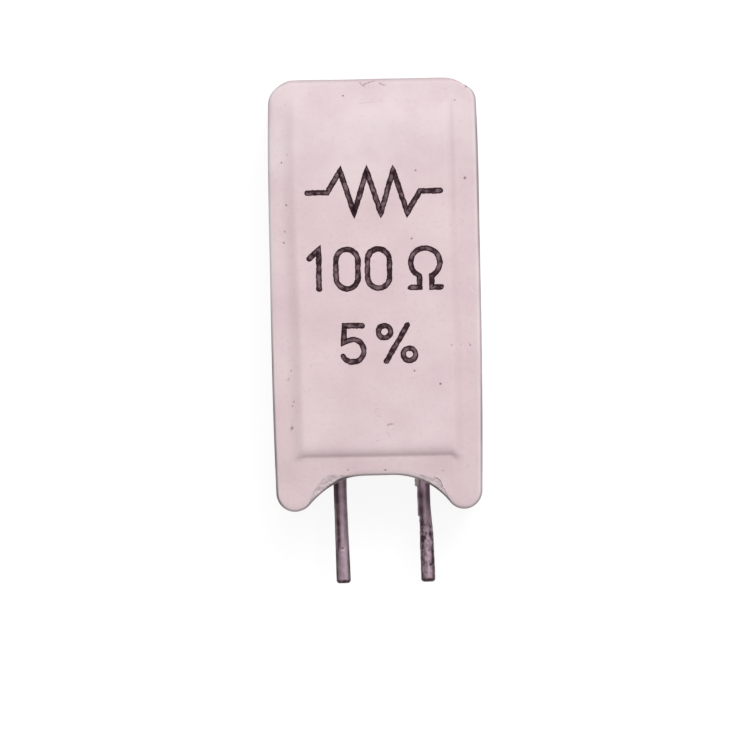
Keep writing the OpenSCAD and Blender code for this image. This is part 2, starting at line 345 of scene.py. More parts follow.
class CaseShape:
    """The case's sizes in millimetres, and the height of its face."""

    def __init__(self, case):
        low, high = (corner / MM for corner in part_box("ceramic_case"))
        self.half = high.x
        self.tall = high.y - low.y
        self.face = high.z
        self.corner_r = case.corner_radius / MM
        self.foot_r = case.foot_radius / MM
        self.arch_h = case.arch_height / MM
        self.arch_r = case.shoulder_radius / MM
        self.edge_r = case.edge_rounding / MM
        self.back_r = case.back_rounding / MM
        self.panel_h = case.panel_height / MM
        self.slope = case.bottom_slope / MM
        self.droop = case.droop / MM
        self.rim = self.face - self.panel_h
        self.panel_half = self.half - case.panel_side / MM
        self.panel_low = self.arch_h + case.panel_bottom / MM
        self.panel_high = self.tall - case.panel_top / MM
        self.foot_x = self.half - self.foot_r
        self.arch_y = self.arch_h - self.arch_r
        reach = self.arch_r + self.foot_r
        rise = self.foot_r - self.arch_y
        self.arch_x = self.foot_x - math.sqrt(reach**2 - rise**2)
        self.arch_from = math.degrees(math.atan2(rise, self.foot_x - self.arch_x))
        self.cavity_half = self.half - case.side_wall / MM
        self.cavity_low = self.arch_h + case.bottom_wall / MM
        self.cavity_high = self.tall - case.side_wall / MM
        self.cavity_top = self.face - case.front_wall / MM
        self.cavity_r = case.cavity_radius / MM

    def arch(self, x):
        """Height of the arch over the feet at a place across it."""
        past = max(abs(x) - self.arch_x, 0)
        return self.arch_y + math.sqrt(max(self.arch_r**2 - past**2, 0))

    def panel_rise(self, x, y):
        """Share of the panel's height at a place: soft slopes, and a lower edge that ends sharply."""
        x += PANEL_LEAN * ramp(*LEAN_Y, y)
        out, into = LEFT_SLOPE
        left = ramp(0, 1, clamp((x + self.panel_half + out) / (out + into)) ** LEFT_CURVE)
        out, into = RIGHT_SLOPE
        right = ramp(self.panel_half + out, self.panel_half - into, x)
        out, into = TOP_SLOPE
        top = ramp(self.panel_high + out, self.panel_high - into, y)
        bottom = 1 - (1 - clamp(self.over_foot(x, y) / self.slope)) ** BOTTOM_CURVE
        wedge = lerp(TOP_SHARE, 1, ramp(*WEDGE_Y, y))
        return wedge * left * right * top * bottom

    def over_foot(self, x, y):
        """Distance of a place over the lower foot of the panel, which flares at its ends."""
        flare = RIGHT_FLARE if x > 0 else LEFT_FLARE
        return y - self.panel_low + flare * ramp(*FLARE_REACH, abs(x) - self.panel_half)

    def along_foot(self, x, y, off, width):
        """A soft line along the lower foot of the panel, at a distance over it."""
        return bulge(self.over_foot(x, y), off, width) * ramp(*FOOT_LINE_END, abs(x) - self.panel_half)

    def sag(self, y):
        """Fall of the rim towards the arch and the feet."""
        below = max(self.panel_low - y, 0)
        return self.droop * ramp(*SAG_REACH, below) + FOOT_FALL * below if below else 0.0

    def chip(self, x, y):
        """How far a place lies inside a broken edge of the arch, and how deep the break is there."""
        here = Vector((x, y, 0))
        x += CHIP_WANDER * ripple(here, 0.25, 5)
        for reaches, slope in CHIPS:
            for (x0, reach0), (x1, reach1) in zip(reaches, reaches[1:]):
                if x0 <= x < x1:
                    reach = reach0 + (reach1 - reach0) * (x - x0) / (x1 - x0)
                    inside = self.arch(x) + reach - y + CHIP_ROUGH * ripple(here, 0.2, 9)
                    step = ramp(0, CHIP_STEP_WIDTH, inside) * lerp(*CHIP_STEP, self.outlined(x))
                    depth = step + slope * max(inside, 0)
                    return inside, depth * (1 + CRUMBLE_SHARE * self.crumble(x, y))
        return -1.0, 0.0

    def outlined(self, x):
        """How clear the outline of a break is at a place across the case."""
        return ramp(*OUTLINED_X, x)

    def crumble(self, x, y):
        """Uneven patches of a break, from about -1 to 1."""
        return ripples(Vector((x, y, 0)), CRUMBLE_WAVES)

    def pit(self, x, y):
        """Share of a pit's depth at a place on the face."""
        wobble = 1 + PIT_WOBBLE * ripple(Vector((x, y, 0)), 0.07, 13)
        away = ((wobble * math.hypot(x - px, y - py), radius) for px, py, radius in PITS)
        return max(ramp(radius, PIT_FLOOR * radius, distance) for distance, radius in away)

    def scratch(self, x, y):
        """Share of a scratch's depth at a place on the face, below 0 if the scratch is pale."""
        here = Vector((x, y))
        mean, spread = SCRATCH_UNEVEN
        deepest = 0.0
        for x0, y0, x1, y1, dark in SCRATCHES:
            near, share = intersect_point_line(here, Vector((x0, y0)), Vector((x1, y1)))
            if 0 < share < 1:
                uneven = mean + spread * ripple(Vector((x, y, 0)), 0.09, 16)
                trace = ramp(SCRATCH_WIDTH, SCRATCH_FLOOR * SCRATCH_WIDTH, (near.xy - here).length)
                deepest = max(deepest, dark * clamp(uneven) * trace, key=abs)
        return deepest

    def flawed(self, x, y):
        """Whether a place lies near a flaw that needs a finer mesh."""
        if any(math.hypot(x - px, y - py) < PIT_ROOM for px, py, _ in PITS):
            return True
        along, beside = SCRATCH_ROOM
        for x0, y0, x1, y1, _ in SCRATCHES:
            if min(x0, x1) - along < x < max(x0, x1) + along and abs(y - (y0 + y1) / 2) < beside:
                return True
        return self.chip(x, y)[0] > -BREAK_ROOM

    def swell(self, point):
        """Unevenness of the pressed and fired surface, always inwards."""
        return ripples(point, SWELL_WAVES) - SWELL_DEPTH

    def face_height(self, x, y):
        """Height of the face at a place across and over the feet."""
        z = self.rim + self.panel_h * self.panel_rise(x, y) - self.sag(y)
        return z + self.swell(Vector((x, y, z)))


class Pen:
    """Draws a wire by extruding or spinning its last vertex."""

    def __init__(self, mesh, start, height=0.0):
        self.mesh = mesh
        self.height = height
        self.first = mesh.verts.new((*start, height))
        self.tip = self.first
        self.edges = []

    def line(self, end, steps):
        """A straight stroke."""
        stride = (Vector((*end, self.height)) - self.tip.co) / steps
        for _ in range(steps):
            grown = bmesh.ops.extrude_vert_indiv(self.mesh, verts=[self.tip])
            self.tip = grown["verts"][0]
            self.tip.co += stride
            self.edges += grown["edges"]

    def arc(self, centre, degrees, steps):
        """A round stroke about a centre."""
        known = set(self.tip.link_edges)
        tip = self.tip
        swept = bmesh.ops.spin(
            self.mesh,
            geom=[tip],
            cent=(*centre, self.height),
            axis=(0, 0, 1),
            angle=math.radians(degrees),
            steps=steps,
        )
        self.tip = swept["geom_last"][0]
        edge = next(edge for edge in tip.link_edges if edge not in known)
        vert = edge.other_vert(tip)
        self.edges.append(edge)
        while vert is not self.tip:
            edge = next(other for other in vert.link_edges if other is not edge)
            vert = edge.other_vert(vert)
            self.edges.append(edge)

    def close(self):
        """Joins the last vertex to the first and gives the edges of the loop."""
        bmesh.ops.weld_verts(self.mesh, targetmap={self.tip: self.first})
        kept = {edge for edge in self.edges if edge.is_valid}
        return list(kept.union(self.first.link_edges))


# Steps of the loops that are bridged: half a corner, the two straights and the parts of the arch
HALF_CORNER = 12
ALONG_SIDE = 226
ALONG_TOP = 92
FOOT_STEPS = 16
SHOULDER_STEPS = 34
ARCH_STEPS = 16
GRID_ACROSS = ALONG_TOP + 2 * HALF_CORNER
GRID_ALONG = ALONG_SIDE + 2 * HALF_CORNER


def around(centre, radius, degrees):
    """A point on a circle."""
    angle = math.radians(degrees)
    return centre[0] + radius * math.cos(angle), centre[1] + radius * math.sin(angle)


def draw_upper_outline(pen, half, low, high, low_r, high_r):
    """Right side, top and left side of a loop that starts halfway round its lower right corner."""
    pen.arc((half - low_r, low + low_r), 45, HALF_CORNER)
    pen.line((half, high - high_r), ALONG_SIDE)
    pen.arc((half - high_r, high - high_r), 90, 2 * HALF_CORNER)
    pen.line((high_r - half, high), ALONG_TOP)
    pen.arc((high_r - half, high - high_r), 90, 2 * HALF_CORNER)
    pen.line((-half, low + low_r), ALONG_SIDE)
    pen.arc((low_r - half, low + low_r), 45, HALF_CORNER)


def draw_case_outline(mesh, shape, height):
    """The case's outline, with its feet and the arch between them."""
    foot = (shape.foot_x, shape.foot_r)
    left_foot = (-shape.foot_x, shape.foot_r)
    turn = 90 - shape.arch_from
    pen = Pen(mesh, around(foot, shape.foot_r, 315), height)
    draw_upper_outline(pen, shape.half, 0, shape.tall, shape.foot_r, shape.corner_r)
    pen.arc(left_foot, 45 + turn, FOOT_STEPS)
    pen.arc((-shape.arch_x, shape.arch_y), -turn, SHOULDER_STEPS)
    pen.line((shape.arch_x, shape.arch_h), ARCH_STEPS)
    pen.arc((shape.arch_x, shape.arch_y), -turn, SHOULDER_STEPS)
    pen.arc(foot, 45 + turn, FOOT_STEPS)
    return pen.close()


def draw_cavity_outline(mesh, shape, height):
    """The mouth of the cavity: a rectangle with round corners."""
    r = shape.cavity_r
    half = shape.cavity_half
    low = shape.cavity_low
    pen = Pen(mesh, around((half - r, low + r), r, 315), height)
    draw_upper_outline(pen, half, low, shape.cavity_high, r, r)
    pen.arc((r - half, low + r), 45, HALF_CORNER)
    pen.line((half - r, low), ALONG_TOP)
    pen.arc((half - r, low + r), 45, HALF_CORNER)
    return pen.close()


def verts_of(edges):
    """The vertices of some edges."""
    return list({vert for edge in edges for vert in edge.verts})


# How far one loop is lifted while two loops of one plane are bridged
LIFT = Vector((0, 0, 20))


def bridge(mesh, outer, inner):
    """Bridges two loops of one plane. The inner one is lifted meanwhile, so that both face the same way."""
    lifted = verts_of(inner)
    bmesh.ops.translate(mesh, vec=LIFT, verts=lifted)
    bmesh.ops.bridge_loops(mesh, edges=outer + inner)
    bmesh.ops.translate(mesh, vec=-LIFT, verts=lifted)


def framed_grid(mesh, loop, half, low, high, height):
    """A grid that fills the middle of a loop, bridged to it. Gives the grid's vertices."""
    made = bmesh.ops.create_grid(mesh, x_segments=GRID_ACROSS, y_segments=GRID_ALONG, size=0.5)["verts"]
    bmesh.ops.scale(mesh, vec=(2 * half, high - low, 1), verts=made)
    bmesh.ops.translate(mesh, vec=(0, (low + high) / 2, height), verts=made)
    border = [edge for edge in mesh.edges if edge.is_boundary]
    bridge(mesh, loop, border)
    return made


def verts_in(geometry):
    """The vertices in what an operator made."""
    return [part for part in geometry if isinstance(part, bmesh.types.BMVert)]


def edges_in(geometry):
    """The edges in what an operator made."""
    return [part for part in geometry if isinstance(part, bmesh.types.BMEdge)]


def push_loop(mesh, loop, height):
    """Extrudes a loop to a height and gives its new edges."""
    grown = bmesh.ops.extrude_edge_only(mesh, edges=loop)["geom"]
    for vert in verts_in(grown):
        vert.co.z = height
    return [edge for edge in edges_in(grown) if edge.verts[0].co.z == edge.verts[1].co.z]


def round_edges(mesh, edges, radius, segments):
    """Rounds a loop of edges."""
    bmesh.ops.bevel(
        mesh,
        geom=edges,
        offset=radius,
        offset_type="OFFSET",
        segments=segments,
        profile=0.5,
        affect="EDGES",
        material=-1,
    )


def spokes_from(verts):
    """The edges that lead away from a set of vertices."""
    inside = set(verts)
    return list({edge for vert in verts for edge in vert.link_edges if edge.other_vert(vert) not in inside})


# Room between the panel and the edge of the grid that carries it
PANEL_MARGIN = 0.08
# Radius of the edge at the cavity's mouth, and segments of the rounded edges
MOUTH_R = 0.1
MOUTH_SEGMENTS = 2
EDGE_SEGMENTS = 6
BACK_SEGMENTS = 3
# Cuts in the strip around a grid, in the walls and at the flaws
STRIP_CUTS = 9
WALL_CUTS = 18
FLAW_CUTS = 3


def press_case(mesh, shape):
    """The case before firing: face, walls, back rim and cavity, without its relief."""
    outline = draw_case_outline(mesh, shape, shape.rim)
    half = shape.panel_half + PANEL_MARGIN
    low = shape.panel_low - PANEL_MARGIN
    grid = framed_grid(mesh, outline, half, low, shape.panel_high + PANEL_MARGIN, shape.rim)
    back = push_loop(mesh, outline, 0.0)
    mouth = draw_cavity_outline(mesh, shape, 0.0)
    bridge(mesh, back, mouth)
    ceiling = push_loop(mesh, mouth, shape.cavity_top)
    bmesh.ops.contextual_create(mesh, geom=ceiling)
    round_edges(mesh, outline, shape.edge_r, EDGE_SEGMENTS)
    round_edges(mesh, back, shape.back_r, BACK_SEGMENTS)
    round_edges(mesh, mouth, MOUTH_R, MOUTH_SEGMENTS)
    bmesh.ops.subdivide_edges(mesh, edges=spokes_from(grid), cuts=STRIP_CUTS, use_grid_fill=True)
    walls = [edge for edge in mesh.edges if abs(edge.verts[0].co.z - edge.verts[1].co.z) > shape.rim / 2]
    bmesh.ops.subdivide_edges(mesh, edges=walls, cuts=WALL_CUTS, use_grid_fill=True)
    front = (vert for vert in mesh.verts if vert.co.z > shape.rim - shape.edge_r)
    flawed = {vert for vert in front if shape.flawed(*vert.co.xy)}
    fine = [edge for edge in mesh.edges if flawed.issuperset(edge.verts)]
    bmesh.ops.subdivide_edges(mesh, edges=fine, cuts=FLAW_CUTS, use_grid_fill=True)
    bmesh.ops.recalc_face_normals(mesh, faces=mesh.faces)


def link_mesh(name, mesh):
    """A mesh as an object in the scene."""
    data = bpy.data.meshes.new(name)
    mesh.to_mesh(data)
    mesh.free()
    made = bpy.data.objects.new(name, data)
    bpy.context.scene.collection.objects.link(made)
    return made


def cut(mesh, cutter):
    """The mesh with the cutter's volume taken out of it."""
    block = link_mesh("block", mesh)
    tool = link_mesh("tool", cutter)
    difference = block.modifiers.new("Cut", "BOOLEAN")
    difference.operation = "DIFFERENCE"
    difference.solver = "EXACT"
    difference.object = tool
    result = bmesh.new()
    result.from_object(block, bpy.context.evaluated_depsgraph_get())
    for spent in (block, tool):
        data = spent.data
        bpy.data.objects.remove(spent)
        bpy.data.meshes.remove(data)
    return result


# Steps around a slot: its sides, its round end and its open end
SLOT_SIDE = 12
SLOT_ROUND = 16
SLOT_OPEN = 4


def draw_slot(mesh, x, half, low, high, y_from, y_to):
    """A slot's volume: straight walls with a round end, through the bottom wall."""
    before = set(mesh.verts)
    pen = Pen(mesh, (x + half, low))
    pen.line((x + half, high), SLOT_SIDE)
    pen.arc((x, high), 180, SLOT_ROUND)
    pen.line((x - half, low), SLOT_SIDE)
    pen.line((x + half, low), SLOT_OPEN)
    rim = pen.close()
    face = bmesh.ops.contextual_create(mesh, geom=rim)["faces"]
    grown = bmesh.ops.extrude_face_region(mesh, geom=face)["geom"]
    bmesh.ops.translate(mesh, vec=(0, 0, y_from - y_to), verts=verts_in(grown))
    made = [vert for vert in mesh.verts if vert not in before]
    bmesh.ops.rotate(mesh, cent=(0, 0, 0), matrix=Matrix.Rotation(math.radians(90), 3, "X"), verts=made)
    bmesh.ops.translate(mesh, vec=(0, y_from, 0), verts=made)
    return made


# Darkening of the face: the rim darker outside the panel, fading out near the top; painted shade in a line
# over the panel's foot and in a line beside its upper right edge
RIM_DARKENING = 0.03
RIM_DARKENING_Y = (24, 22)
FOOT_SHADE = 0.14
FOOT_SHADE_LINE = (0.04, 0.1)
SIDE_SHADE = 0.09
SIDE_SHADE_LINE = (4.7, 0.13)
SIDE_SHADE_Y = (15, 19, 23.7, 24.3)
# Painted light on the face: its top lighter, a painted highlight in a line under the panel's foot, and two
# parts of the panel lighter
TOP_LIGHT = 0.42
TOP_LIGHT_Y = (17.5, 20.5)
FOOT_HIGHLIGHT = 0.25
FOOT_HIGHLIGHT_LINE = (-0.14, 0.07)
PANEL_LIGHT = 0.2
PANEL_LIGHT_LOW_Y = (9, 5)
PANEL_LIGHT_RIGHT_X = (1, 4)
PANEL_LIGHT_RIGHT_Y = (18, 16)


def face_tone(shape, x, y, rise):
    """Darkening and paleness of the flat face, where the panel has a share of its height: a darker rim,
    painted shade in lines along the panel, painted light on parts of it and a painted highlight under its
    foot.
    """
    darkening = RIM_DARKENING * (1 - rise) * ramp(*RIM_DARKENING_Y, y)
    # Painted shade in a line over the panel's foot and in a line beside its upper right edge
    darkening += FOOT_SHADE * shape.along_foot(x, y, *FOOT_SHADE_LINE)
    darkening += SIDE_SHADE * bulge(x, *SIDE_SHADE_LINE) * window(*SIDE_SHADE_Y, y)
    # Painted light on the lower part and the upper right part of the panel
    right = ramp(*PANEL_LIGHT_RIGHT_X, x) * ramp(*PANEL_LIGHT_RIGHT_Y, y)
    pale = PANEL_LIGHT * rise * max(ramp(*PANEL_LIGHT_LOW_Y, y), right)
    # With a painted highlight in a line under the panel's foot
    return Vector((darkening, pale + FOOT_HIGHLIGHT * shape.along_foot(x, y, *FOOT_HIGHLIGHT_LINE)))


# Breaks, by the distance inside their outline: the broken face, the painted shade of its outline and the
# painted highlight on its lip
BROKEN_FACE = (-0.03, 0.08)
BREAK_OUTLINE = (-0.02, 0.02, 0.05, 0.1)
LIP_HIGHLIGHT = (-0.12, -0.06, -0.03, 0)
BREAK_SHARE = 0.45
BREAK_DIRT = 0.16
BREAK_PALE = 0.5
OUTLINE_SHADE = 0.25


def break_tone(shape, x, y, inside):
    """Darker and paler patches of the broken edges of the arch, with painted shade along a break's outline
    and a painted highlight on its lip.
    """
    fresh = ramp(*BROKEN_FACE, inside)
    patch = shape.crumble(x, y)
    outlined = shape.outlined(x)
    # Painted shade along the step of a break's outline
    darkening = BREAK_DIRT * fresh * clamp(patch) + OUTLINE_SHADE * outlined * window(*BREAK_OUTLINE, inside)
    # Paler patches of the broken face, and a painted highlight on the lip of a break
    return Vector((darkening, BREAK_PALE * fresh * clamp(-patch) + outlined * window(*LIP_HIGHLIGHT, inside)))


# Parts of the edge around the face, across the case or over the feet
LEFT_EDGE_X = (-5.5, -6)
RIGHT_EDGE_X = (5.5, 6)
TOP_EDGE_Y = (24.9, 25.2)
ARCH_EDGE_X = (5, 4.4)
ARCH_EDGE_Y = (2.6, 2.1)
LIT_LEFT_Y = (10, 13)
# Painted shadow on the arch at the leads and a broad one, with the middle and the width of each
SLOT_SHADOW_X = ((-2.5, 0.8), (3.3, 0.7))
BROAD_SHADOW_X = (-2.4, 0.7)
# Stretches of the two long edges with deeper, wider painted shade, and how much the right one gets
LEFT_DEEP_SHADE_Y = ((10.5, 9), (7, 5))
RIGHT_DEEP_SHADE_HIGH_Y = (14, 17, 22.5, 24.5)
RIGHT_DEEP_SHADE_HIGH = 0.7
RIGHT_DEEP_SHADE_LOW_Y = (9, 6)
RIGHT_DEEP_SHADE_LOW = 0.4
# Painted shade of the edge, what its parts add or take away, and its patches
EDGE_SHADE = 0.45
TOP_EDGE_SHADE = -0.3
ARCH_EDGE_SHADE = 0.2
SLOT_SHADOW = 0.45
DEEP_SHADE = 0.32
LIT_LEFT_SHADE = -0.42
DEEP_SHADE_SPREAD = 0.8
SHADE_PATCHES = (0.85, 0.4)
# Bands of the edge by their depth below the rim: the painted shade, thin or spread, a line of painted shade
# on the top edge, and the lighter lines of painted highlight with edge wear and of painted light on the lit
# left edge
SHADE_FROM = ((0.07, 0.03), (0.15, 0.09))
SHADE_TO = (0.4, 0.9)
TOP_LINE = (0, 0.03, 0.4, 0.9)
TOP_LINE_SHADE = 0.1
PALE_LINE = (0.005, 0.03, 0.08, 0.12)
LIT_LEFT_BAND = (0.03, 0.1, 0.4, 0.9)


def edge_shading_and_wear(place, below):
    """Painted shade, painted light and edge wear of the edge around the face, at a depth below the rim."""
    x, y, _ = place
    left = ramp(*LEFT_EDGE_X, x)
    right = ramp(*RIGHT_EDGE_X, x)
    topped = ramp(*TOP_EDGE_Y, y)
    arched = ramp(*ARCH_EDGE_X, abs(x)) * ramp(*ARCH_EDGE_Y, y)
    slotted = sum(bulge(x, *spot) for spot in SLOT_SHADOW_X)
    # Where the left edge is lit: less painted shade and a band of painted light
    lit_left = left * ramp(*LIT_LEFT_Y, y) * (1 - topped)
    deeper_shade = left * sum(ramp(*stretch, y) for stretch in LEFT_DEEP_SHADE_Y) / len(LEFT_DEEP_SHADE_Y)
    deeper_shade += right * RIGHT_DEEP_SHADE_HIGH * window(*RIGHT_DEEP_SHADE_HIGH_Y, y)
    deeper_shade += right * RIGHT_DEEP_SHADE_LOW * ramp(*RIGHT_DEEP_SHADE_LOW_Y, y)
    # Painted shade of the edge, and painted shadow on the arch beside the leads
    shade_amount = EDGE_SHADE + TOP_EDGE_SHADE * topped + arched * (ARCH_EDGE_SHADE + SLOT_SHADOW * slotted)
    shade_amount += DEEP_SHADE * deeper_shade + LIT_LEFT_SHADE * lit_left
    spread = arched * bulge(x, *BROAD_SHADOW_X) + DEEP_SHADE_SPREAD * deeper_shade
    start, full = (lerp(thin, broad, spread) for thin, broad in SHADE_FROM)
    mean, patches = SHADE_PATCHES
    darkening = window(start, full, *SHADE_TO, below) * shade_amount * (mean + patches * ripple(place, 1.3, 17))
    darkening += TOP_LINE_SHADE * topped * window(*TOP_LINE, below)
    # A thin pale line of painted highlight with edge wear, and painted light on the lit left edge
    pale = window(*PALE_LINE, below) * (1 - topped) + lit_left * window(*LIT_LEFT_BAND, below)
    return Vector((darkening, pale))


# Depth below the rim at which the face's relief has run out, and the depth that counts as the flat face
FRONT_DEPTH = 1.6
FLAT_DEPTH = 0.001
# Share of the unevenness that the walls have, and the height over the floor up to which there is none
WALL_SWELL = 0.4
FLAT_BACK = 0.05


def weather(mesh, shape):
    """Presses the relief into the case and adds the unevenness, flaws and wear of the fired piece, with
    painted shade and painted light in its colour.
    """
    # The first attribute carries dirt and painted shade, the second edge wear and painted light
    stain_and_shade = mesh.verts.layers.float.new("stain_and_shade")
    worn = mesh.verts.layers.float.new("worn")
    broken = mesh.verts.layers.float.new("broken")
    mesh.normal_update()
    for vert in mesh.verts:
        x, y, z = vert.co
        below = shape.rim - z
        front = ramp(FRONT_DEPTH, 0, below)
        # Painted shade and highlight of the edge, and painted light on the upper part of the case
        tone = edge_shading_and_wear(vert.co, below) + Vector((0, TOP_LIGHT * ramp(*TOP_LIGHT_Y, y) * front))
        if below < shape.edge_r:
            pitted = shape.pit(x, y)
            scratched = shape.scratch(x, y)
            z -= PIT_DEPTH * pitted + SCRATCH_DEPTH * abs(scratched)
            # Pits darkened with painted shade and dirt; some scratches dark, some pale
            tone += Vector((PIT_SHADE_AND_DIRT * pitted + SCRATCH_DIRT * max(scratched, 0), max(-scratched, 0)))
        if below < FLAT_DEPTH:
            rise = shape.panel_rise(x, y)
            z += shape.panel_h * rise
            tone += face_tone(shape, x, y, rise)
        inside, depth = shape.chip(x, y)
        z -= (depth + shape.sag(y)) * front
        tone += break_tone(shape, x, y, inside) * front
        vert[broken] = BREAK_SHARE * ramp(*BROKEN_FACE, inside) * front
        vert[stain_and_shade], vert[worn] = map(clamp, tone)
        push = vert.normal * shape.swell(Vector((x, y, z))) * lerp(WALL_SWELL, 1, front)
        vert.co.z = z
        if z > FLAT_BACK:
            vert.co += push
        squeeze(vert.co, shape)


# Barrel form of the outline: where over the feet its two ends draw in, and by how much
BARREL_LOW_Y = 11
BARREL_LOW = 0.16
BARREL_HIGH_Y = 19
BARREL_HIGH = 0.13
# Mean and spread of the unevenness of the sides and of the top edge, and how far down the latter reaches
SIDE_UNEVEN = (0.006, 0.006)
TOP_UNEVEN = (0.045, 0.02)
TOP_REACH = 3
# How far the left shoulder of the arch sits to the right, and where it is
SHOULDER_SHIFT = 0.13
SHOULDER_X = (-4.9, -3.4, -3, -1.6)
SHOULDER_Y = (3, 1.6)
# Width over which a blunt corner blends into its sides
CORNER_BLEND = 0.12


def squeeze(point, shape):
    """The slight barrel form, blunt corners and unevenness of the outline, always inwards."""
    low = max(BARREL_LOW_Y - point.y, 0) / BARREL_LOW_Y
    high = max(point.y - BARREL_HIGH_Y, 0) / (shape.tall - BARREL_HIGH_Y)
    mean, spread = SIDE_UNEVEN
    shrink = BARREL_HIGH * high**2 + BARREL_LOW * low**2
    shrink += mean + spread * ripple(Vector((0, point.y, point.z)), 4.5, 7)
    point.x *= 1 - shrink / shape.half
    point.x += SHOULDER_SHIFT * window(*SHOULDER_X, point.x) * ramp(*SHOULDER_Y, point.y)
    if point.y < shape.tall / 2:
        return
    mean, spread = TOP_UNEVEN
    dip = mean + spread * ripple(Vector((point.x, 0, point.z)), 3, 8)
    point.y -= dip * ramp(shape.tall - TOP_REACH, shape.tall, point.y)
    for outward, limit in BLUNT_CORNERS:
        past = point.dot(outward) - limit
        point -= outward * CORNER_BLEND * math.log1p(math.exp(past / CORNER_BLEND))


# Angles in degrees over which an edge stays hard, on the cement and elsewhere
HARD_CEMENT = 60
HARD = 50


def mark_sharp(mesh, degrees=HARD):
    """Smooth shading, with hard edges over an angle."""
    for face in mesh.faces:
        face.smooth = True
    for edge in mesh.edges:
        edge.smooth = edge.calc_face_angle(0) < math.radians(degrees)


def finish_piece(name, mesh, material, replaced=()):
    """Turns a mesh in millimetres from the feet into a piece in the frame."""
    bmesh.ops.translate(mesh, vec=(0, FEET_Y, 0), verts=mesh.verts)
    bmesh.ops.scale(mesh, vec=(MM, MM, MM), verts=mesh.verts)
    piece = link_mesh(name, mesh)
    piece.data.materials.append(material)
    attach(piece, "root")
    if replaced:
        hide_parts(*replaced)


class Nodes:
    """Adds nodes to a tree and links them."""

    def __init__(self, tree):
        self.tree = tree

    def add(self, kind, inputs=None, **settings):
        """A node with its settings and the values or links of its inputs."""
        node = self.tree.nodes.new(kind)
        for key, value in settings.items():
            setattr(node, key, value)
        for key, value in (inputs or {}).items():
            self.feed(node.inputs[key], value)
        return node

    def feed(self, socket, value):
        """Links a socket to another one, or sets its value."""
        if isinstance(value, bpy.types.NodeSocket):
            self.tree.links.new(value, socket)
        else:
            socket.default_value = value

    def mix(self, share, first, second):
        """A mix of two colours, each a socket or three numbers."""
        node = self.add("ShaderNodeMix", {0: share}, data_type="RGBA")
        for place, colour in ((6, first), (7, second)):
            if not isinstance(colour, bpy.types.NodeSocket):
                colour = (*colour, 1)
            self.feed(node.inputs[place], colour)
        return node.outputs[2]

    def math(self, operation, first, second=0.0, clamped=False):
        """A sum on two values."""
        node = self.add("ShaderNodeMath", {0: first, 1: second}, operation=operation, use_clamp=clamped)
        return node.outputs[0]

    def span(self, value, low, high, to_low=0.0, to_high=1.0):
        """A value mapped from one range to another, and kept inside it."""
        node = self.add(
            "ShaderNodeMapRange",
            {"Value": value, "From Min": low, "From Max": high, "To Min": to_low, "To Max": to_high},
        )
        return node.outputs["Result"]

    def noise(self, vector, size, detail):
        """Noise from 0 to 1 with features of a size in metres."""
        scale = self.math("DIVIDE", 1.0, size)
        node = self.add("ShaderNodeTexNoise", {"Vector": vector, "Scale": scale, "Detail": detail})
        return node.outputs["Fac"]

    def attribute(self, name):
        """A value that the mesh carries."""
        return self.add("ShaderNodeAttribute", attribute_name=name).outputs["Fac"]

    def seen_directly(self):
        """1 for what the camera sees directly, in a reflection or through something clear."""
        path = self.add("ShaderNodeLightPath").outputs
        direct = self.math("MAXIMUM", path["Is Camera Ray"], path["Is Glossy Ray"])
        return self.math("MAXIMUM", direct, path["Is Transmission Ray"])


def node_group(name, inputs, outputs):
    """An empty shader node group with named float sockets."""
    tree = bpy.data.node_groups.new(name, "ShaderNodeTree")
    for label, value in inputs.items():
        socket = tree.interface.new_socket(name=label, in_out="INPUT", socket_type="NodeSocketFloat")
        socket.default_value = value
    for label in outputs:
        tree.interface.new_socket(name=label, in_out="OUTPUT", socket_type="NodeSocketFloat")
    return tree, tree.nodes.new("NodeGroupInput"), tree.nodes.new("NodeGroupOutput")


def mineral_group():
    """Clouds, grains and pores of a fired or cast mineral, with sizes in metres."""
    name = "Mineral grain"
    if name in bpy.data.node_groups:
        return bpy.data.node_groups[name]
    sizes = {"Cloud Size": 0.002, "Grain Size": 0.0002}
    tree, given, result = node_group(name, sizes, ("Cloud", "Grain", "Pores"))
    nodes = Nodes(tree)
    place = nodes.add("ShaderNodeTexCoord").outputs["Object"]
    for label, detail in (("Cloud", 4.0), ("Grain", 2.0)):
        nodes.feed(result.inputs[label], nodes.noise(place, given.outputs[label + " Size"], detail))
    cell = nodes.math("DIVIDE", 0.35, given.outputs["Grain Size"])
    pores = nodes.add("ShaderNodeTexVoronoi", {"Vector": place, "Scale": cell, "Randomness": 1.0})
    spots = nodes.span(pores.outputs["Distance"], 0.11, 0.05)
    rare = nodes.add("ShaderNodeSeparateColor", {"Color": pores.outputs["Color"]}).outputs["Red"]
    nodes.feed(result.inputs["Pores"], nodes.math("MULTIPLY", spots, nodes.span(rare, 0.84, 0.94)))
    return tree


def mineral(nodes, cloud, grain):
    """The outputs of the mineral group, for clouds and grains with sizes in millimetres."""
    sizes = {"Cloud Size": cloud * MM, "Grain Size": grain * MM}
    return nodes.add("ShaderNodeGroup", sizes, node_tree=mineral_group()).outputs


def wire_group():
    """Drawn streaks along a wire and blotches of tarnish on it, with sizes in metres."""
    name = "Drawn wire"
    if name in bpy.data.node_groups:
        return bpy.data.node_groups[name]
    sizes = {"Streak Size": 0.00012, "Blotch Size": 0.0008}
    tree, given, result = node_group(name, sizes, ("Streak", "Blotch"))
    nodes = Nodes(tree)
    place = nodes.add("ShaderNodeTexCoord").outputs["Object"]
    along = nodes.add("ShaderNodeMapping", {"Vector": place, "Scale": (1.0, 0.05, 1.0)}).outputs["Vector"]
    for label, vector in (("Streak", along), ("Blotch", place)):
        nodes.feed(result.inputs[label], nodes.noise(vector, given.outputs[label + " Size"], 3.0))
    return tree


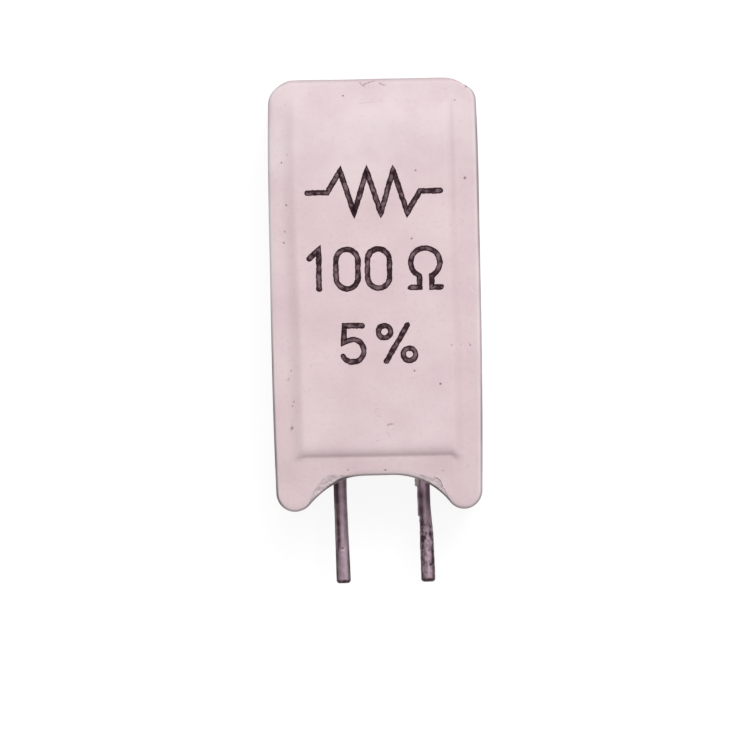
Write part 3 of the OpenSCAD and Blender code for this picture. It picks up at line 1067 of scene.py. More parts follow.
def drawn(nodes, streak, blotch):
    """The outputs of the wire group, for streaks and blotches with sizes in millimetres."""
    sizes = {"Streak Size": streak * MM, "Blotch Size": blotch * MM}
    return nodes.add("ShaderNodeGroup", sizes, node_tree=wire_group()).outputs


def new_material(name):
    """A material, the adder of its nodes and its shader."""
    material = bpy.data.materials.new(name)
    material.use_nodes = True
    tree = material.node_tree
    return material, Nodes(tree), tree.nodes["Principled BSDF"]


def bumped(nodes, shader, height, depth):
    """Gives a shader the bumps of a height, with a depth in millimetres."""
    bump = nodes.add("ShaderNodeBump", {"Height": height, "Distance": depth * MM, "Strength": 1.0})
    nodes.feed(shader.inputs["Normal"], bump.outputs["Normal"])


def toned(colour, share):
    """A colour made darker or lighter."""
    return tuple(share * part for part in colour)


def ceramic_material(case):
    """Unglazed fired ceramic: pale clouds, fine grains, a few pores, dirt in its flaws, and painted shade
    and painted light from its attributes.
    """
    material, nodes, shader = new_material("fired ceramic")
    grain = mineral(nodes, 2.8, 0.22)
    cloudy = nodes.mix(nodes.span(grain["Cloud"], 0.35, 0.68), case.ceramic, case.cloud)
    speckled = nodes.span(grain["Grain"], 0.56, 0.8, 0.0, 0.6)
    grainy = nodes.mix(speckled, cloudy, toned(case.ceramic, 0.9))
    pores = nodes.math("MULTIPLY", grain["Pores"], 0.35)
    # Darkened towards the dark colour by pores and by an attribute that carries dirt and painted shade
    dimmed = nodes.math("MAXIMUM", nodes.math("MULTIPLY", nodes.attribute("stain_and_shade"), 0.9), pores)
    patchy = nodes.span(grain["Cloud"], 0.35, 0.6, 0.3, 0.9)
    # Paled towards the pale colour by an attribute that carries edge wear and painted light
    worn = nodes.math("MULTIPLY", nodes.attribute("worn"), patchy)
    chipped = nodes.mix(nodes.attribute("broken"), grainy, case.fracture)
    edged = nodes.mix(worn, chipped, case.worn_and_lit)
    nodes.feed(shader.inputs["Base Color"], nodes.mix(dimmed, edged, case.darkening))
    nodes.feed(shader.inputs["Roughness"], nodes.span(grain["Grain"], 0.3, 0.7, 0.5, 0.66))
    shader.inputs["Specular IOR Level"].default_value = 0.35
    rough = nodes.math("SUBTRACT", nodes.math("MULTIPLY", grain["Grain"], 0.4), grain["Pores"])
    bumped(nodes, shader, rough, 0.02)
    return material


def cement_material(cement):
    """Dry cement: sandy, dull and full of small pores."""
    material, nodes, shader = new_material("dry cement")
    grain = mineral(nodes, 1.6, 0.16)
    patchy = nodes.mix(nodes.span(grain["Cloud"], 0.3, 0.7), cement.cement, toned(cement.cement, 1.12))
    sandy = nodes.mix(nodes.span(grain["Grain"], 0.52, 0.72, 0.0, 0.75), patchy, cement.sand)
    holes = nodes.math("MULTIPLY", grain["Pores"], 0.7)
    nodes.feed(shader.inputs["Base Color"], nodes.mix(holes, sandy, toned(cement.sand, 0.35)))
    nodes.feed(shader.inputs["Roughness"], nodes.span(grain["Grain"], 0.3, 0.7, 0.82, 0.95))
    shader.inputs["Specular IOR Level"].default_value = 0.25
    bumped(nodes, shader, nodes.math("SUBTRACT", grain["Grain"], grain["Pores"]), 0.06)
    return material


def wire_material(name, bright, dark, rough, streak, blotch):
    """Drawn metal with streaks along it and blotches of tarnish."""
    material, nodes, shader = new_material(name)
    wire = drawn(nodes, streak, blotch)
    streaks = nodes.span(wire["Streak"], 0.42, 0.66)
    blotches = nodes.span(wire["Blotch"], 0.5, 0.72, 0.0, 0.7)
    worn = nodes.math("MAXIMUM", streaks, blotches)
    nodes.feed(shader.inputs["Base Color"], nodes.mix(worn, bright, dark))
    nodes.feed(shader.inputs["Roughness"], nodes.span(worn, 0.0, 1.0, rough, rough + 0.2))
    shader.inputs["Metallic"].default_value = 0.9
    bumped(nodes, shader, nodes.math("SUBTRACT", wire["Streak"], wire["Blotch"]), 0.02)
    return material


def lead_material(lead):
    """Dull tin that is darkened where an attribute says so, by tarnish and by painted shade, reflection and
    sheen, unevenly along its drawing streaks.
    """
    material, nodes, shader = new_material("dull tin")
    wire = drawn(nodes, 0.14, 0.5)
    streaks = nodes.span(wire["Streak"], 0.3, 0.7, -0.16, 0.16)
    blotches = nodes.span(wire["Blotch"], 0.3, 0.7, -0.14, 0.14)
    uneven = nodes.math("ADD", streaks, blotches)
    # The attribute carries tarnish and painted shade, reflection and sheen
    darkened = nodes.math("ADD", nodes.attribute("tarnish_and_shading"), uneven, clamped=True)
    nodes.feed(shader.inputs["Base Color"], nodes.mix(darkened, lead.tin, lead.tarnish))
    nodes.feed(shader.inputs["Roughness"], nodes.span(darkened, 0.0, 1.0, 0.36, 0.6))
    shader.inputs["Metallic"].default_value = 0.9
    bumped(nodes, shader, nodes.math("SUBTRACT", wire["Streak"], wire["Blotch"]), 0.02)
    return material


def core_material(element):
    """White fired core ceramic."""
    material, nodes, shader = new_material("core ceramic")
    grain = mineral(nodes, 1.2, 0.12)
    pale = nodes.mix(nodes.span(grain["Cloud"], 0.3, 0.7), element.core, element.core_cloud)
    nodes.feed(shader.inputs["Base Color"], pale)
    nodes.feed(shader.inputs["Roughness"], nodes.span(grain["Grain"], 0.3, 0.7, 0.6, 0.75))
    bumped(nodes, shader, grain["Grain"], 0.01)
    return material


def ink_material(marking):
    """Stamped ink: dark at the rim of a stroke, thin and mottled in its middle."""
    material, nodes, shader = new_material("stamped ink")
    grain = mineral(nodes, 0.35, 0.1)
    rim = nodes.span(nodes.attribute("rim"), 0.35, 0.85)
    thin = nodes.math("SUBTRACT", nodes.span(grain["Cloud"], 0.42, 0.62), rim)
    speck = nodes.math("ADD", thin, nodes.span(grain["Grain"], 0.55, 0.75, 0.0, 0.35), clamped=True)
    nodes.feed(shader.inputs["Base Color"], nodes.mix(speck, marking.ink, marking.worn_ink))
    nodes.feed(shader.inputs["Roughness"], nodes.span(grain["Grain"], 0.3, 0.7, 0.5, 0.7))
    shader.inputs["Specular IOR Level"].default_value = 0.12
    bumped(nodes, shader, grain["Cloud"], 0.008)
    return material


# How far the cutter of a slot reaches past the faces that it opens
CUT_PAST = 1.0


class RESISTOR_OT_case(bpy.types.Operator):
    """Models the pressed and fired ceramic case"""

    bl_idname = "resistor.case"
    bl_label = "Ceramic Case"

    def execute(self, context):
        scene = context.scene
        shape = CaseShape(scene.resistor_case)
        wires = WireShape(scene.resistor_lead)
        mesh = bmesh.new()
        press_case(mesh, shape)
        cutter = bmesh.new()
        inner = shape.cavity_low + shape.cavity_r
        for x in (wires.left_x, wires.right_x):
            draw_slot(cutter, x, wires.slot_half, -CUT_PAST, wires.z, -CUT_PAST, inner)
        bmesh.ops.recalc_face_normals(cutter, faces=cutter.faces)
        mesh = cut(mesh, cutter)
        weather(mesh, shape)
        mark_sharp(mesh)
        finish_piece("case", mesh, ceramic_material(scene.resistor_case), ["ceramic_case"])
        return {"FINISHED"}


class WireShape:
    """The leads' sizes in millimetres."""

    def __init__(self, lead):
        low, high = (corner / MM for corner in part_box("return_lead"))
        cap_low, cap_high = (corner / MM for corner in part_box("lower_cap"))
        self.bow_r = lead.pitch / MM / 2
        self.left_x = (cap_low.x + cap_high.x) / 2
        self.right_x = self.left_x + 2 * self.bow_r
        self.r = lead.diameter / MM / 2
        self.z = (low.z + high.z) / 2
        self.tip_y = low.y - FEET_Y
        self.bend_y = lead.bend_height / MM
        self.lean = lead.lean
        self.slot_half = self.r + lead.slot_room / MM
        self.bow_y = high.y - FEET_Y - self.r - self.bow_r
        self.stub_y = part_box("upper_cap")[1].y / MM - FEET_Y
        self.cap_y = cap_low.y - FEET_Y
        self.tail = (self.bend_y - self.tip_y - self.r * math.sin(self.lean)) / math.cos(self.lean)

    def axis(self, x, y):
        """Place of the axis of a lead's tail at a height over the feet."""
        return x + (self.bend_y - y) * math.tan(self.lean)


class Tube:
    """Draws a wire by extruding or spinning its last ring."""

    SIDES = 48

    def __init__(self, mesh, start, direction, radius):
        self.mesh = mesh
        ring = bmesh.ops.create_circle(mesh, cap_ends=True, segments=self.SIDES, radius=radius)["verts"]
        turn = Vector((0, 0, 1)).rotation_difference(direction).to_matrix()
        bmesh.ops.rotate(mesh, cent=(0, 0, 0), matrix=turn, verts=ring)
        bmesh.ops.translate(mesh, vec=start, verts=ring)
        self.end_rim = [edge for edge in mesh.edges if all(vert in ring for vert in edge.verts)]
        self.ring = self.end_rim

    def grow(self, stretch, steps):
        """A straight stretch."""
        for _ in range(steps):
            grown = bmesh.ops.extrude_edge_only(self.mesh, edges=self.ring)["geom"]
            fresh = set(verts_in(grown))
            bmesh.ops.translate(self.mesh, vec=stretch / steps, verts=list(fresh))
            self.ring = [edge for edge in edges_in(grown) if fresh.issuperset(edge.verts)]

    def turn(self, centre, degrees, steps):
        """A bow about an axis along Z."""
        swept = bmesh.ops.spin(
            self.mesh,
            geom=self.ring + verts_of(self.ring),
            cent=centre,
            axis=(0, 0, 1),
            angle=math.radians(degrees),
            steps=steps,
        )
        self.ring = edges_in(swept["geom_last"])

    def close(self):
        """Caps the last ring."""
        bmesh.ops.contextual_create(self.mesh, geom=self.ring)


# Length of the last stretch of a tail, and the radius and segments of its cut end
CUT_END = 0.26
CUT_ROUNDING = 0.19
CUT_SEGMENTS = 8
# Steps of the leads: a tail, the straight lead inside the case, and the other lead's rise, bow and stub
TAIL_STEPS = 106
STRAIGHT_STEPS = 20
RISE_STEPS = 60
BOW_STEPS = 32
STUB_STEPS = 3


def draw_lead(mesh, wires, x):
    """The tail of a lead, from its cut end up to its bend."""
    down = Vector((math.sin(wires.lean), -math.cos(wires.lean), 0))
    bend = Vector((x, wires.bend_y, wires.z))
    tube = Tube(mesh, bend + wires.tail * down, down, wires.r)
    tube.grow(-CUT_END * down, 1)
    tube.grow((CUT_END - wires.tail) * down, TAIL_STEPS)
    round_edges(mesh, tube.end_rim, CUT_ROUNDING, CUT_SEGMENTS)
    return tube


# Dents of the tails: which lead, place along it over the feet, place across it and radius
DENTS = (
    ("left_lead", -2.25, 0.0, 0.12),
    ("right_lead", -3.3, 0.4, 0.14),
)
# Dents: depth, how dark they are, and the share of the radius that is flat
DENT_DEPTH = 0.025
DENT_DARK = 0.55
DENT_FLOOR = 0.2
# Where along a tail its lower tones set in, and how far that place wanders
LOWER_Y = (-1.2, -3.2)
LOWER_WANDER = 0.3
# Ground of a tail, upper part: darkness, and a painted sheen with its middle and its width across the tail
UPPER_DARK = 0.45
UPPER_SHEEN = 0.12
UPPER_SHEEN_X = (0.2, 0.3)
# Ground of a tail, lower part: darkness from the right to the left, a painted shade on its left side, and
# where across the tail it changes
LOWER_DARK = (0.06, 0.4)
LOWER_DARK_X = (0.35, -0.35)
# Dark band of painted reflection and dark rims of painted shade on a tail, by the place across it from -1
# to 1
BAND_DARK = 0.85
LEFT_RIM_X = (-0.65, -0.95)
RIGHT_RIM_X = 0.88
# What changes of them from the upper to the lower part
BAND_X = (-0.46, -0.8)
BAND_WIDTH = (0.42, 0.3)
LEFT_RIM_DARK = (0.6, 0.9)
RIGHT_RIM_DARK = (0.4, 0.85)
RIGHT_RIM_WIDTH = (0.18, 0.22)
# Height over the tip up to which the cut end is dark
TIP_DARK = (0.26, 0.16)


def tin_tarnish_and_shading(wires, across, y, point):
    """How dark a tail is: its tarnish, a band of painted reflection that runs to its edge towards the tip,
    dark rims of painted shade, a painted sheen, and a dark cut end.
    """
    lower = ramp(*LOWER_Y, y + LOWER_WANDER * ripple(point, 1.2, 15))
    # A painted sheen on the upper part, and painted shade on the left of the lower part
    upper_ground = UPPER_DARK - UPPER_SHEEN * bulge(across, *UPPER_SHEEN_X)
    lower_ground = lerp(*LOWER_DARK, ramp(*LOWER_DARK_X, across))
    # Painted reflection of a dark surround as a band, and painted shade on both rims
    band = BAND_DARK * bulge(across, lerp(*BAND_X, lower), lerp(*BAND_WIDTH, lower))
    left_rim = lerp(*LEFT_RIM_DARK, lower) * ramp(*LEFT_RIM_X, across)
    right_rim = lerp(*RIGHT_RIM_DARK, lower) * bulge(across, RIGHT_RIM_X, lerp(*RIGHT_RIM_WIDTH, lower))
    end = ramp(*TIP_DARK, y - wires.tip_y)
    return max(lerp(upper_ground, lower_ground, lower), band, left_rim, right_rim, end)


# The right lead: how far its tones sit to the left, and the dust on its top
RIGHT_SHIFT = 0.12
DUST = 0.75
DUST_Y = (0.9, 1.5)
# Crust and worn flat of the right lead: depth, unevenness, place along it and across it
CRUST = 0.08
CRUST_UNEVEN = 0.03
CRUST_Y = (-0.46, -0.38)
CRUST_X = (-0.05, -0.75)
WORN_FLAT = 0.09
WORN_FLAT_Y = (-1.6, 0.4)
WORN_FLAT_X = (0.1, 0.8)
# Scorched stretch of the right lead: place, share left at its lower end, skewed lumps and darkness
BURNT_Y = (-0.4, -0.8)
BURNT_LEFT = 0.65
BURNT_LEFT_Y = (-2.7, -2.1)
LUMP_SKEW = 0.25
LUMP_STRETCH = 0.7
LUMP_WAVES = ((1, 0.17, 12), (0.7, 0.08, 13))
LUMP_HEIGHT = 0.02
LUMP_DARK = 0.6
BURNT_DARK = 0.15
# Dark streak of the right lead near its tip: darkness, middle and width across it, place along it
STREAK_DARK = 0.45
STREAK_X = (0.72, 0.2)
STREAK_Y = (-3.4, -3.1, -2.4, -2)


def scorch_lead(point, across):
    """Push and darkness that the crust and the scorched stretch give the right lead at a place."""
    y = point.y
    push = ramp(*CRUST_Y, y) * ramp(*CRUST_X, across) * (CRUST + CRUST_UNEVEN * ripple(point, 0.4, 11))
    push -= WORN_FLAT * ramp(*WORN_FLAT_Y, y) * ramp(*WORN_FLAT_X, across)
    burnt = ramp(*BURNT_Y, y) * lerp(BURNT_LEFT, 1, ramp(*BURNT_LEFT_Y, y))
    lumps = ripples(Vector((point.x + LUMP_SKEW * y, LUMP_STRETCH * y, point.z)), LUMP_WAVES)
    dark = burnt * (LUMP_DARK * lumps + BURNT_DARK)
    dark += STREAK_DARK * bulge(across, *STREAK_X) * window(*STREAK_Y, y)
    return push + LUMP_HEIGHT * burnt * lumps, dark


# Waves of the tin, how far over the bend it is uneven, and the width of a tail at its top and its tip
TIN_WAVES = ((0.006, 0.6, 3), (0.003, 0.2, 6))
TIN_OVER_BEND = 1.2
TAIL_WIDTH = (0.97, 1.05)
TAIL_WIDTH_FROM = 0.5


def scuff_lead(mesh, wires, x, name):
    """Uneven tin on the tail of a lead, with painted shade, reflection and sheen across it, and a crust and
    a scorched stretch on the right one.
    """
    tarnish_and_shading = mesh.verts.layers.float.new("tarnish_and_shading")
    right = name == "right_lead"
    mesh.normal_update()
    for vert in mesh.verts:
        y = vert.co.y
        if y > wires.bend_y + TIN_OVER_BEND:
            continue
        axis = wires.axis(x, y)
        across = (vert.co.x - axis) / wires.r
        push = ripples(vert.co, TIN_WAVES)
        # Tarnish with painted shade, reflection and sheen across the tail
        dark = tin_tarnish_and_shading(wires, across + RIGHT_SHIFT * right, y, vert.co)
        if right:
            crust, burnt = scorch_lead(vert.co, across)
            push += crust
            dark = dark * (1 - DUST * ramp(*DUST_Y, y)) + burnt
        for lead, along, aside, radius in DENTS:
            if lead == name:
                place = Vector((axis + aside * wires.r, along, wires.z + wires.r * math.sqrt(1 - aside**2)))
                dent = ramp(radius, DENT_FLOOR * radius, (place - vert.co).length)
                push -= DENT_DEPTH * dent
                dark += DENT_DARK * dent
        vert[tarnish_and_shading] = clamp(dark)
        vert.co += push * vert.normal
        vert.co.y = max(vert.co.y, wires.tip_y)
        wide = lerp(*TAIL_WIDTH, ramp(TAIL_WIDTH_FROM, wires.tip_y, y))
        vert.co.x = axis + (vert.co.x - axis) * wide


class RESISTOR_OT_leads(bpy.types.Operator):
    """Models the two tinned wire leads"""

    bl_idname = "resistor.leads"
    bl_label = "Leads"

    def execute(self, context):
        lead = context.scene.resistor_lead
        wires = WireShape(lead)
        tin = lead_material(lead)
        mesh = bmesh.new()
        tube = draw_lead(mesh, wires, wires.left_x)
        tube.grow(Vector((0, wires.cap_y - wires.bend_y, 0)), STRAIGHT_STEPS)
        tube.close()
        self.finish(mesh, wires, wires.left_x, "left_lead", tin, "straight_lead")
        mesh = bmesh.new()
        tube = draw_lead(mesh, wires, wires.right_x)
        tube.grow(Vector((0, wires.bow_y - wires.bend_y, 0)), RISE_STEPS)
        tube.turn((wires.right_x - wires.bow_r, wires.bow_y, wires.z), 180, BOW_STEPS)
        tube.grow(Vector((0, wires.stub_y - wires.bow_y, 0)), STUB_STEPS)
        tube.close()
        self.finish(mesh, wires, wires.right_x, "right_lead", tin, "return_lead")
        return {"FINISHED"}

    def finish(self, mesh, wires, x, name, material, node):
        """Scuffs a lead and puts it in the frame."""
        bmesh.ops.recalc_face_normals(mesh, faces=mesh.faces)
        scuff_lead(mesh, wires, x, name)
        mark_sharp(mesh)
        finish_piece(name, mesh, material, [node])


# Cement: room between its grid and the walls, its waves and bubbles, and where they and its creep set in
CEMENT_INSET = 0.9
CEMENT_WAVES = ((0.03, 1.6, 21), (0.018, 0.45, 22), (0.012, 0.2, 23))
BUBBLE_DEPTH = 0.09
BUBBLE_FROM = (0.62, 0.8)
WAVES_FROM = (0, 0.5)
CREEP_FROM = (0.9, 0)
# Plugs in the slots: both ends, the height under which the outer end follows the arch, and its recess
PLUG_FROM = 0.9
PLUG_INTO = 0.3
PLUG_END = 1.0
PLUG_RECESS = 0.03
# The lump beside the right lead: place from the slot, the arch and the lead's axis, radius, form and waves
OOZE_PLACE = (0.13, -0.17, 0.1)
OOZE_R = 0.26
OOZE_FORM = (0.6, 1.25, 1.1)
OOZE_WAVES = ((0.5, 0.2, 41), (0.3, 0.09, 42))


class RESISTOR_OT_cement(bpy.types.Operator):
    """Models the cement in the back of the case and in the slots of the leads"""

    bl_idname = "resistor.cement"
    bl_label = "Cement"

    def execute(self, context):
        scene = context.scene
        shape = CaseShape(scene.resistor_case)
        wires = WireShape(scene.resistor_lead)
        cement = scene.resistor_cement
        sink = cement.sink / MM
        creep = cement.creep / MM
        mesh = bmesh.new()
        loop = draw_cavity_outline(mesh, shape, sink)
        half = shape.cavity_half - CEMENT_INSET
        low = shape.cavity_low + CEMENT_INSET
        grid = framed_grid(mesh, loop, half, low, shape.cavity_high - CEMENT_INSET, sink)
        ceiling = push_loop(mesh, loop, shape.cavity_top)
        bmesh.ops.contextual_create(mesh, geom=ceiling)
        bmesh.ops.subdivide_edges(mesh, edges=spokes_from(grid), cuts=STRIP_CUTS, use_grid_fill=True)
        for vert in mesh.verts:
            if vert.co.z > sink + FLAT_DEPTH:
                continue
            x, y, _ = vert.co
            edge = min(shape.cavity_half - abs(x), y - shape.cavity_low, shape.cavity_high - y)
            rough = ripples(vert.co, CEMENT_WAVES) * ramp(*WAVES_FROM, edge)
            bubble = BUBBLE_DEPTH * ramp(*BUBBLE_FROM, ripple(vert.co, 0.55, 24))
            vert.co.z += rough + bubble - creep * ramp(*CREEP_FROM, edge) ** 2
            squeeze(vert.co, shape)
        for x in (wires.left_x, wires.right_x):
            inner = shape.cavity_low + PLUG_INTO
            for vert in draw_slot(mesh, x, wires.slot_half, sink, wires.z, PLUG_FROM, inner):
                if vert.co.y < PLUG_END:
                    vert.co.y = shape.arch(vert.co.x) + PLUG_RECESS
                squeeze(vert.co, shape)
        beside = wires.right_x - wires.slot_half
        self.ooze(mesh, shape, beside, wires.z)
        bmesh.ops.recalc_face_normals(mesh, faces=mesh.faces)
        mark_sharp(mesh, HARD_CEMENT)
        finish_piece("cement", mesh, cement_material(cement), ["cement_fill"])
        return {"FINISHED"}

    def ooze(self, mesh, shape, beside, z):
        """A lump of cement that came out of a slot beside its lead."""
        across, up, over = OOZE_PLACE
        x = beside + across
        lump = bmesh.ops.create_icosphere(mesh, subdivisions=5, radius=OOZE_R)["verts"]
        for vert in lump:
            vert.co *= 1 + ripples(vert.co, OOZE_WAVES)
        bmesh.ops.scale(mesh, vec=OOZE_FORM, verts=lump)
        bmesh.ops.translate(mesh, vec=(x, shape.arch(x) + up, z + over), verts=lump)


class RESISTOR_OT_element(bpy.types.Operator):
    """Gives the core, its winding and its caps their finish"""

    bl_idname = "resistor.element"
    bl_label = "Resistance Element"

    def execute(self, context):
        element = context.scene.resistor_element
        cap = wire_material("pressed steel", element.cap, element.cap_tarnish, 0.35, 0.1, 0.6)
        wound = wire_material("resistance wire", element.winding, element.winding_tarnish, 0.3, 0.08, 0.4)
        finishes = {
            "core_rod": core_material(element),
            "resistance_winding": wound,
            "upper_cap": cap,
            "lower_cap": cap,
        }
        for name, material in finishes.items():
            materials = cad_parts[name].data.materials
            materials.clear()
            materials.append(material)
        return {"FINISHED"}


class Stroke(Pen):
    """A printed stroke: a wire that is widened to a ribbon with round ends."""

    STEP = 0.055
    CAP_STEPS = 8

    def draw(self, end):
        """A straight stroke in short steps."""
        distance = (Vector((*end, self.height)) - self.tip.co).length
        self.line(end, max(2, round(distance / self.STEP)))

    def bow(self, centre, degrees):
        """A round stroke in short steps."""
        radius = (self.tip.co.xy - Vector(centre)).length
        self.arc(centre, degrees, max(4, round(radius * math.radians(abs(degrees)) / self.STEP)))

    def widen(self, half, rim):
        """Extrudes the wire to both sides and rounds its ends."""
        spine = []
        vert = self.first
        edge = None
        while vert is not None:
            spine.append(vert)
            edge = next((other for other in vert.link_edges if other is not edge), None)
            vert = edge.other_vert(vert) if edge else None
            if vert is self.first:
                break
        places = [point.co.copy() for point in spine]
        closed = vert is self.first
        for side in (-1, 1):
            grown = bmesh.ops.extrude_edge_only(self.mesh, edges=self.edges)["geom"]
            for point in verts_in(grown):
                index = min(range(len(places)), key=lambda i: (places[i] - point.co).length_squared)
                point.co += side * half * self.across(places, index, closed)
                point[rim] = 1.0
        if not closed:
            for end, inner in ((0, 1), (-1, -2)):
                self.cap(places[end], places[end] - places[inner], half, rim)

    def across(self, places, index, closed):
        """Direction across the ribbon at a point of its spine, longer at a corner."""
        count = len(places)
        before = places[(index - 1) % count] if closed or index > 0 else None
        after = places[(index + 1) % count] if closed or index < count - 1 else None
        here = places[index]
        steps = []
        if before is not None:
            steps.append((here - before).normalized())
        if after is not None:
            steps.append((after - here).normalized())
        along = sum(steps, Vector()).normalized()
        normal = Vector((-along.y, along.x, 0))
        return normal / max(along.dot(steps[0]), 0.5)

    def cap(self, centre, outward, half, rim):
        """A half disc on an end of the ribbon."""
        start = math.atan2(outward.y, outward.x) - math.pi / 2
        middle = self.mesh.verts.new(centre)
        first = self.mesh.verts.new(centre + half * Vector((math.cos(start), math.sin(start), 0)))
        edge = self.mesh.edges.new((middle, first))
        before = set(self.mesh.verts)
        half_disc = [middle, first, edge]
        bmesh.ops.spin(
            self.mesh, geom=half_disc, cent=centre, axis=(0, 0, 1), angle=math.pi, steps=self.CAP_STEPS
        )
        for vert in [first, *(vert for vert in self.mesh.verts if vert not in before)]:
            vert[rim] = 1.0 if (vert.co - centre).length > half / 2 else 0.0


# Distance under which printed points are one, and raggedness in the middle and at the rim of a stroke
MERGED = 0.002
RAGGED = (0.012, 0.028)
RAGGED_X = ((1, 0.3, 31), (1, 0.09, 33))
RAGGED_Y = ((1, 0.3, 32), (1, 0.09, 34))


class RESISTOR_OT_marking(bpy.types.Operator):
    """Prints a plain resistor sign, a round value and a tolerance on the panel"""

    bl_idname = "resistor.marking"
    bl_label = "Marking"

    def execute(self, context):
        scene = context.scene
        marking = scene.resistor_marking
        shape = CaseShape(scene.resistor_case)
        half = marking.stroke / MM / 2
        tall = marking.glyph_height / MM
        mesh = bmesh.new()
        rim = mesh.verts.layers.float.new("rim")
        strokes = zigzag(mesh, 0.0, SIGN_Y, SIGN_WIDE, SIGN_TALL)
        for glyph, x, y, share in PRINT:
            strokes += glyph(mesh, x, y, tall * share)
        for stroke in strokes:
            stroke.widen(half, rim)
        bmesh.ops.remove_doubles(mesh, verts=mesh.verts, dist=MERGED)
        for vert in mesh.verts:
            ragged = lerp(*RAGGED, vert[rim])
            vert.co.x += ragged * ripples(vert.co, RAGGED_X)
            vert.co.y += ragged * ripples(vert.co, RAGGED_Y)
            vert.co.z = shape.face_height(vert.co.x, vert.co.y)
            squeeze(vert.co, shape)
        for face in mesh.faces:
            if face.normal.z < 0:
                face.normal_flip()
            face.smooth = True
        film = Vector((0, 0, marking.ink_film / MM))
        grown = bmesh.ops.extrude_face_region(mesh, geom=mesh.faces[:])["geom"]
        bmesh.ops.translate(mesh, vec=2 * film, verts=verts_in(grown))
        bmesh.ops.translate(mesh, vec=-film, verts=mesh.verts)
        bmesh.ops.recalc_face_normals(mesh, faces=mesh.faces)
        mark_sharp(mesh)
        finish_piece("marking", mesh, ink_material(marking))
        return {"FINISHED"}


def zigzag(mesh, x, y, wide, tall):
    """The sign of a resistor: a zigzag between two straight ends."""
    peaks = 6
    step = wide / (peaks + 4)
    stroke = Stroke(mesh, (x - wide / 2, y))
    stroke.draw((x - wide / 2 + 1.5 * step, y))
    left = x - wide / 2 + 2 * step
    for peak in range(peaks):
        side = 1 if peak % 2 == 0 else -1
        stroke.draw((left + peak * step + step / 2, y + side * tall / 2))
    stroke.draw((x + wide / 2 - 1.5 * step, y))
    stroke.draw((x + wide / 2, y))
    return [stroke]


def one(mesh, x, y, tall):
    """The numeral 1."""
    stroke = Stroke(mesh, (x - 0.24 * tall, y + 0.78 * tall))
    stroke.draw((x, y + tall))
    stroke.draw((x, y))
    return [stroke]


def zero(mesh, x, y, tall):
    """The numeral 0."""
    r = 0.28 * tall
    stroke = Stroke(mesh, (x + r, y + r))
    stroke.draw((x + r, y + tall - r))
    stroke.bow((x, y + tall - r), 180)
    stroke.draw((x - r, y + r))
    stroke.bow((x, y + r), 180)
    stroke.edges = stroke.close()
    return [stroke]


def ohm(mesh, x, y, tall):
    """The sign of the ohm."""
    r = 0.37 * tall
    centre = (x, y + tall - r)
    stroke = Stroke(mesh, (x - 1.05 * r, y))
    stroke.draw((x - 0.42 * r, y))
    stroke.draw(around(centre, r, 245))
    stroke.bow(centre, -310)
    stroke.draw((x + 0.42 * r, y))
    stroke.draw((x + 1.05 * r, y))
    return [stroke]


def five(mesh, x, y, tall):
    """The numeral 5."""
    r = 0.31 * tall
    stroke = Stroke(mesh, (x + 0.9 * r, y + tall))
    stroke.draw((x - 0.7 * r, y + tall))
    stroke.draw((x - 0.8 * r, y + 0.54 * tall))
    stroke.draw(around((x, y + r), r, 120))
    stroke.bow((x, y + r), -270)
    return [stroke]


def percent(mesh, x, y, tall):
    """The sign of per cent."""
    r = 0.17 * tall
    bar = Stroke(mesh, (x - 0.3 * tall, y))
    bar.draw((x + 0.3 * tall, y + tall))
    strokes = [bar]
    for side in (-1, 1):
        centre = (x + side * 0.34 * tall, y + tall / 2 - side * 0.32 * tall)
        ring = Stroke(mesh, around(centre, r, 0))
        ring.bow(centre, 360)
        ring.edges = ring.close()
        strokes.append(ring)
    return strokes


# Height over the feet, width and height of the resistor sign
SIGN_Y = 18.7
SIGN_WIDE = 7.8
SIGN_TALL = 2.5
# The signs below it, each with its place across and over the feet and its share of the print's height
PRINT = (
    (one, -3.3, 13.05, 1),
    (zero, -1.65, 13.05, 1),
    (zero, 0.2, 13.05, 1),
    (ohm, 2.95, 13.05, 1),
    (five, -1.4, 8.75, 0.92),
    (percent, 1.2, 8.75, 0.92),
)


def floor_material(stage):
    """White paper: a plain pale surface that keeps the shadow and is white to the camera."""
    material, nodes, shader = new_material("white paper")
    shader.inputs["Base Color"].default_value = (stage.paper, stage.paper, stage.paper, 1)
    shader.inputs["Roughness"].default_value = 0.9
    shader.inputs["Specular IOR Level"].default_value = 0.1
    shader.inputs["Emission Color"].default_value = (1, 1, 1, 1)
    glow = nodes.math("MULTIPLY", nodes.seen_directly(), stage.paper_glow)
    nodes.feed(shader.inputs["Emission Strength"], glow)
    return material


def build_world(sky):
    """Even light from all round, and white where it is seen directly."""
    world = bpy.data.worlds.new("studio")
    bpy.context.scene.world = world
    world.use_nodes = True
    nodes = Nodes(world.node_tree)
    background = world.node_tree.nodes["Background"]
    background.inputs["Color"].default_value = (1, 1, 1, 1)
    nodes.feed(background.inputs["Strength"], nodes.span(nodes.seen_directly(), 0.0, 1.0, sky, 1.0))


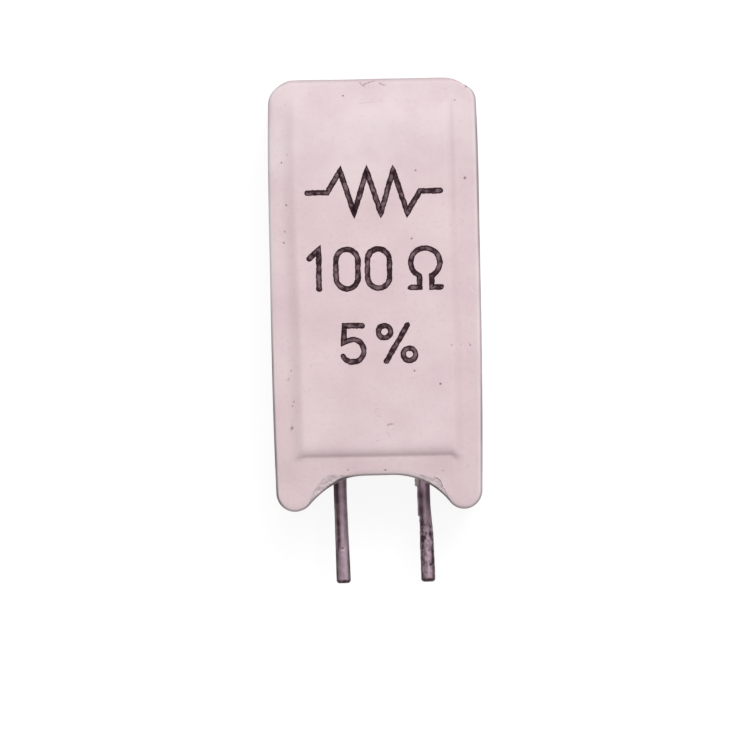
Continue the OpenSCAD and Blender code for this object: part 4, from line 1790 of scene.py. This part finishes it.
class RESISTOR_OT_stage(bpy.types.Operator):
    """Sets up the floor, the light and the camera"""

    bl_idname = "resistor.stage"
    bl_label = "Stage"

    def execute(self, context):
        scene = context.scene
        stage = scene.resistor_stage
        scene.view_settings.view_transform = "Standard"
        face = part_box("ceramic_case")[1].z
        middle = Vector((stage.view_x, stage.view_y + FEET_Y * MM, face))

        mesh = bmesh.new()
        bmesh.ops.create_grid(mesh, x_segments=8, y_segments=8, size=stage.floor_size / 2)
        floor = link_mesh("floor", mesh)
        floor.data.materials.append(floor_material(stage))
        floor.location.z = cad_box[0].z

        build_world(stage.sky_share)
        raised = Vector((0, math.cos(stage.key_height), math.sin(stage.key_height)))
        away = Matrix.Rotation(-stage.key_side, 3, "Z") @ raised
        lamp = bpy.data.lights.new("key", "AREA")
        lamp.size = stage.key_size
        flux = stage.key_share * math.pi**2 * stage.key_distance**2
        lamp.energy = flux / math.sin(stage.key_height)
        key = bpy.data.objects.new("key", lamp)
        centre = (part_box("ceramic_case")[0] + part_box("ceramic_case")[1]) / 2
        centre.z = face
        key.location = centre + stage.key_distance * away
        key.rotation_euler = (-away).to_track_quat("-Z", "Y").to_euler()
        scene.collection.objects.link(key)

        lens = bpy.data.cameras.new("camera")
        lens.lens = lens.sensor_width * stage.camera_distance / stage.view_width
        lens.clip_end = 10
        camera = bpy.data.objects.new("camera", lens)
        camera.location = middle + Vector((0, 0, stage.camera_distance))
        camera.rotation_euler = (0, 0, stage.roll)
        scene.collection.objects.link(camera)
        scene.camera = camera
        return {"FINISHED"}


class RESISTOR_PT_tools(bpy.types.Panel):
    """Lists the pieces of the resistor and their settings"""

    bl_idname = "RESISTOR_PT_tools"
    bl_label = "Cement Power Resistor"
    bl_space_type = "VIEW_3D"
    bl_region_type = "UI"
    bl_category = "Resistor"

    def draw(self, context):
        layout = self.layout
        for operator, group in PIECES:
            box = layout.box()
            box.operator(operator.bl_idname)
            settings = getattr(context.scene, group)
            for name in settings.__annotations__:
                box.prop(settings, name)


SETTINGS = {
    "resistor_case": CaseSettings,
    "resistor_cement": CementSettings,
    "resistor_lead": LeadSettings,
    "resistor_element": ElementSettings,
    "resistor_marking": MarkingSettings,
    "resistor_stage": StageSettings,
}
PIECES = (
    (RESISTOR_OT_case, "resistor_case"),
    (RESISTOR_OT_cement, "resistor_cement"),
    (RESISTOR_OT_leads, "resistor_lead"),
    (RESISTOR_OT_marking, "resistor_marking"),
    (RESISTOR_OT_element, "resistor_element"),
    (RESISTOR_OT_stage, "resistor_stage"),
)


def register():
    for name, group in SETTINGS.items():
        bpy.utils.register_class(group)
        setattr(bpy.types.Scene, name, PointerProperty(type=group))
    for operator, _ in PIECES:
        bpy.utils.register_class(operator)
    bpy.utils.register_class(RESISTOR_PT_tools)


def unregister():
    bpy.utils.unregister_class(RESISTOR_PT_tools)
    for operator, _ in reversed(PIECES):
        bpy.utils.unregister_class(operator)
    for name, group in reversed(SETTINGS.items()):
        delattr(bpy.types.Scene, name)
        bpy.utils.unregister_class(group)


def main():
    register()
    bpy.ops.resistor.case()
    bpy.ops.resistor.cement()
    bpy.ops.resistor.leads()
    bpy.ops.resistor.marking()
    bpy.ops.resistor.element()
    bpy.ops.resistor.stage()


if __name__ == "__main__":
    main()
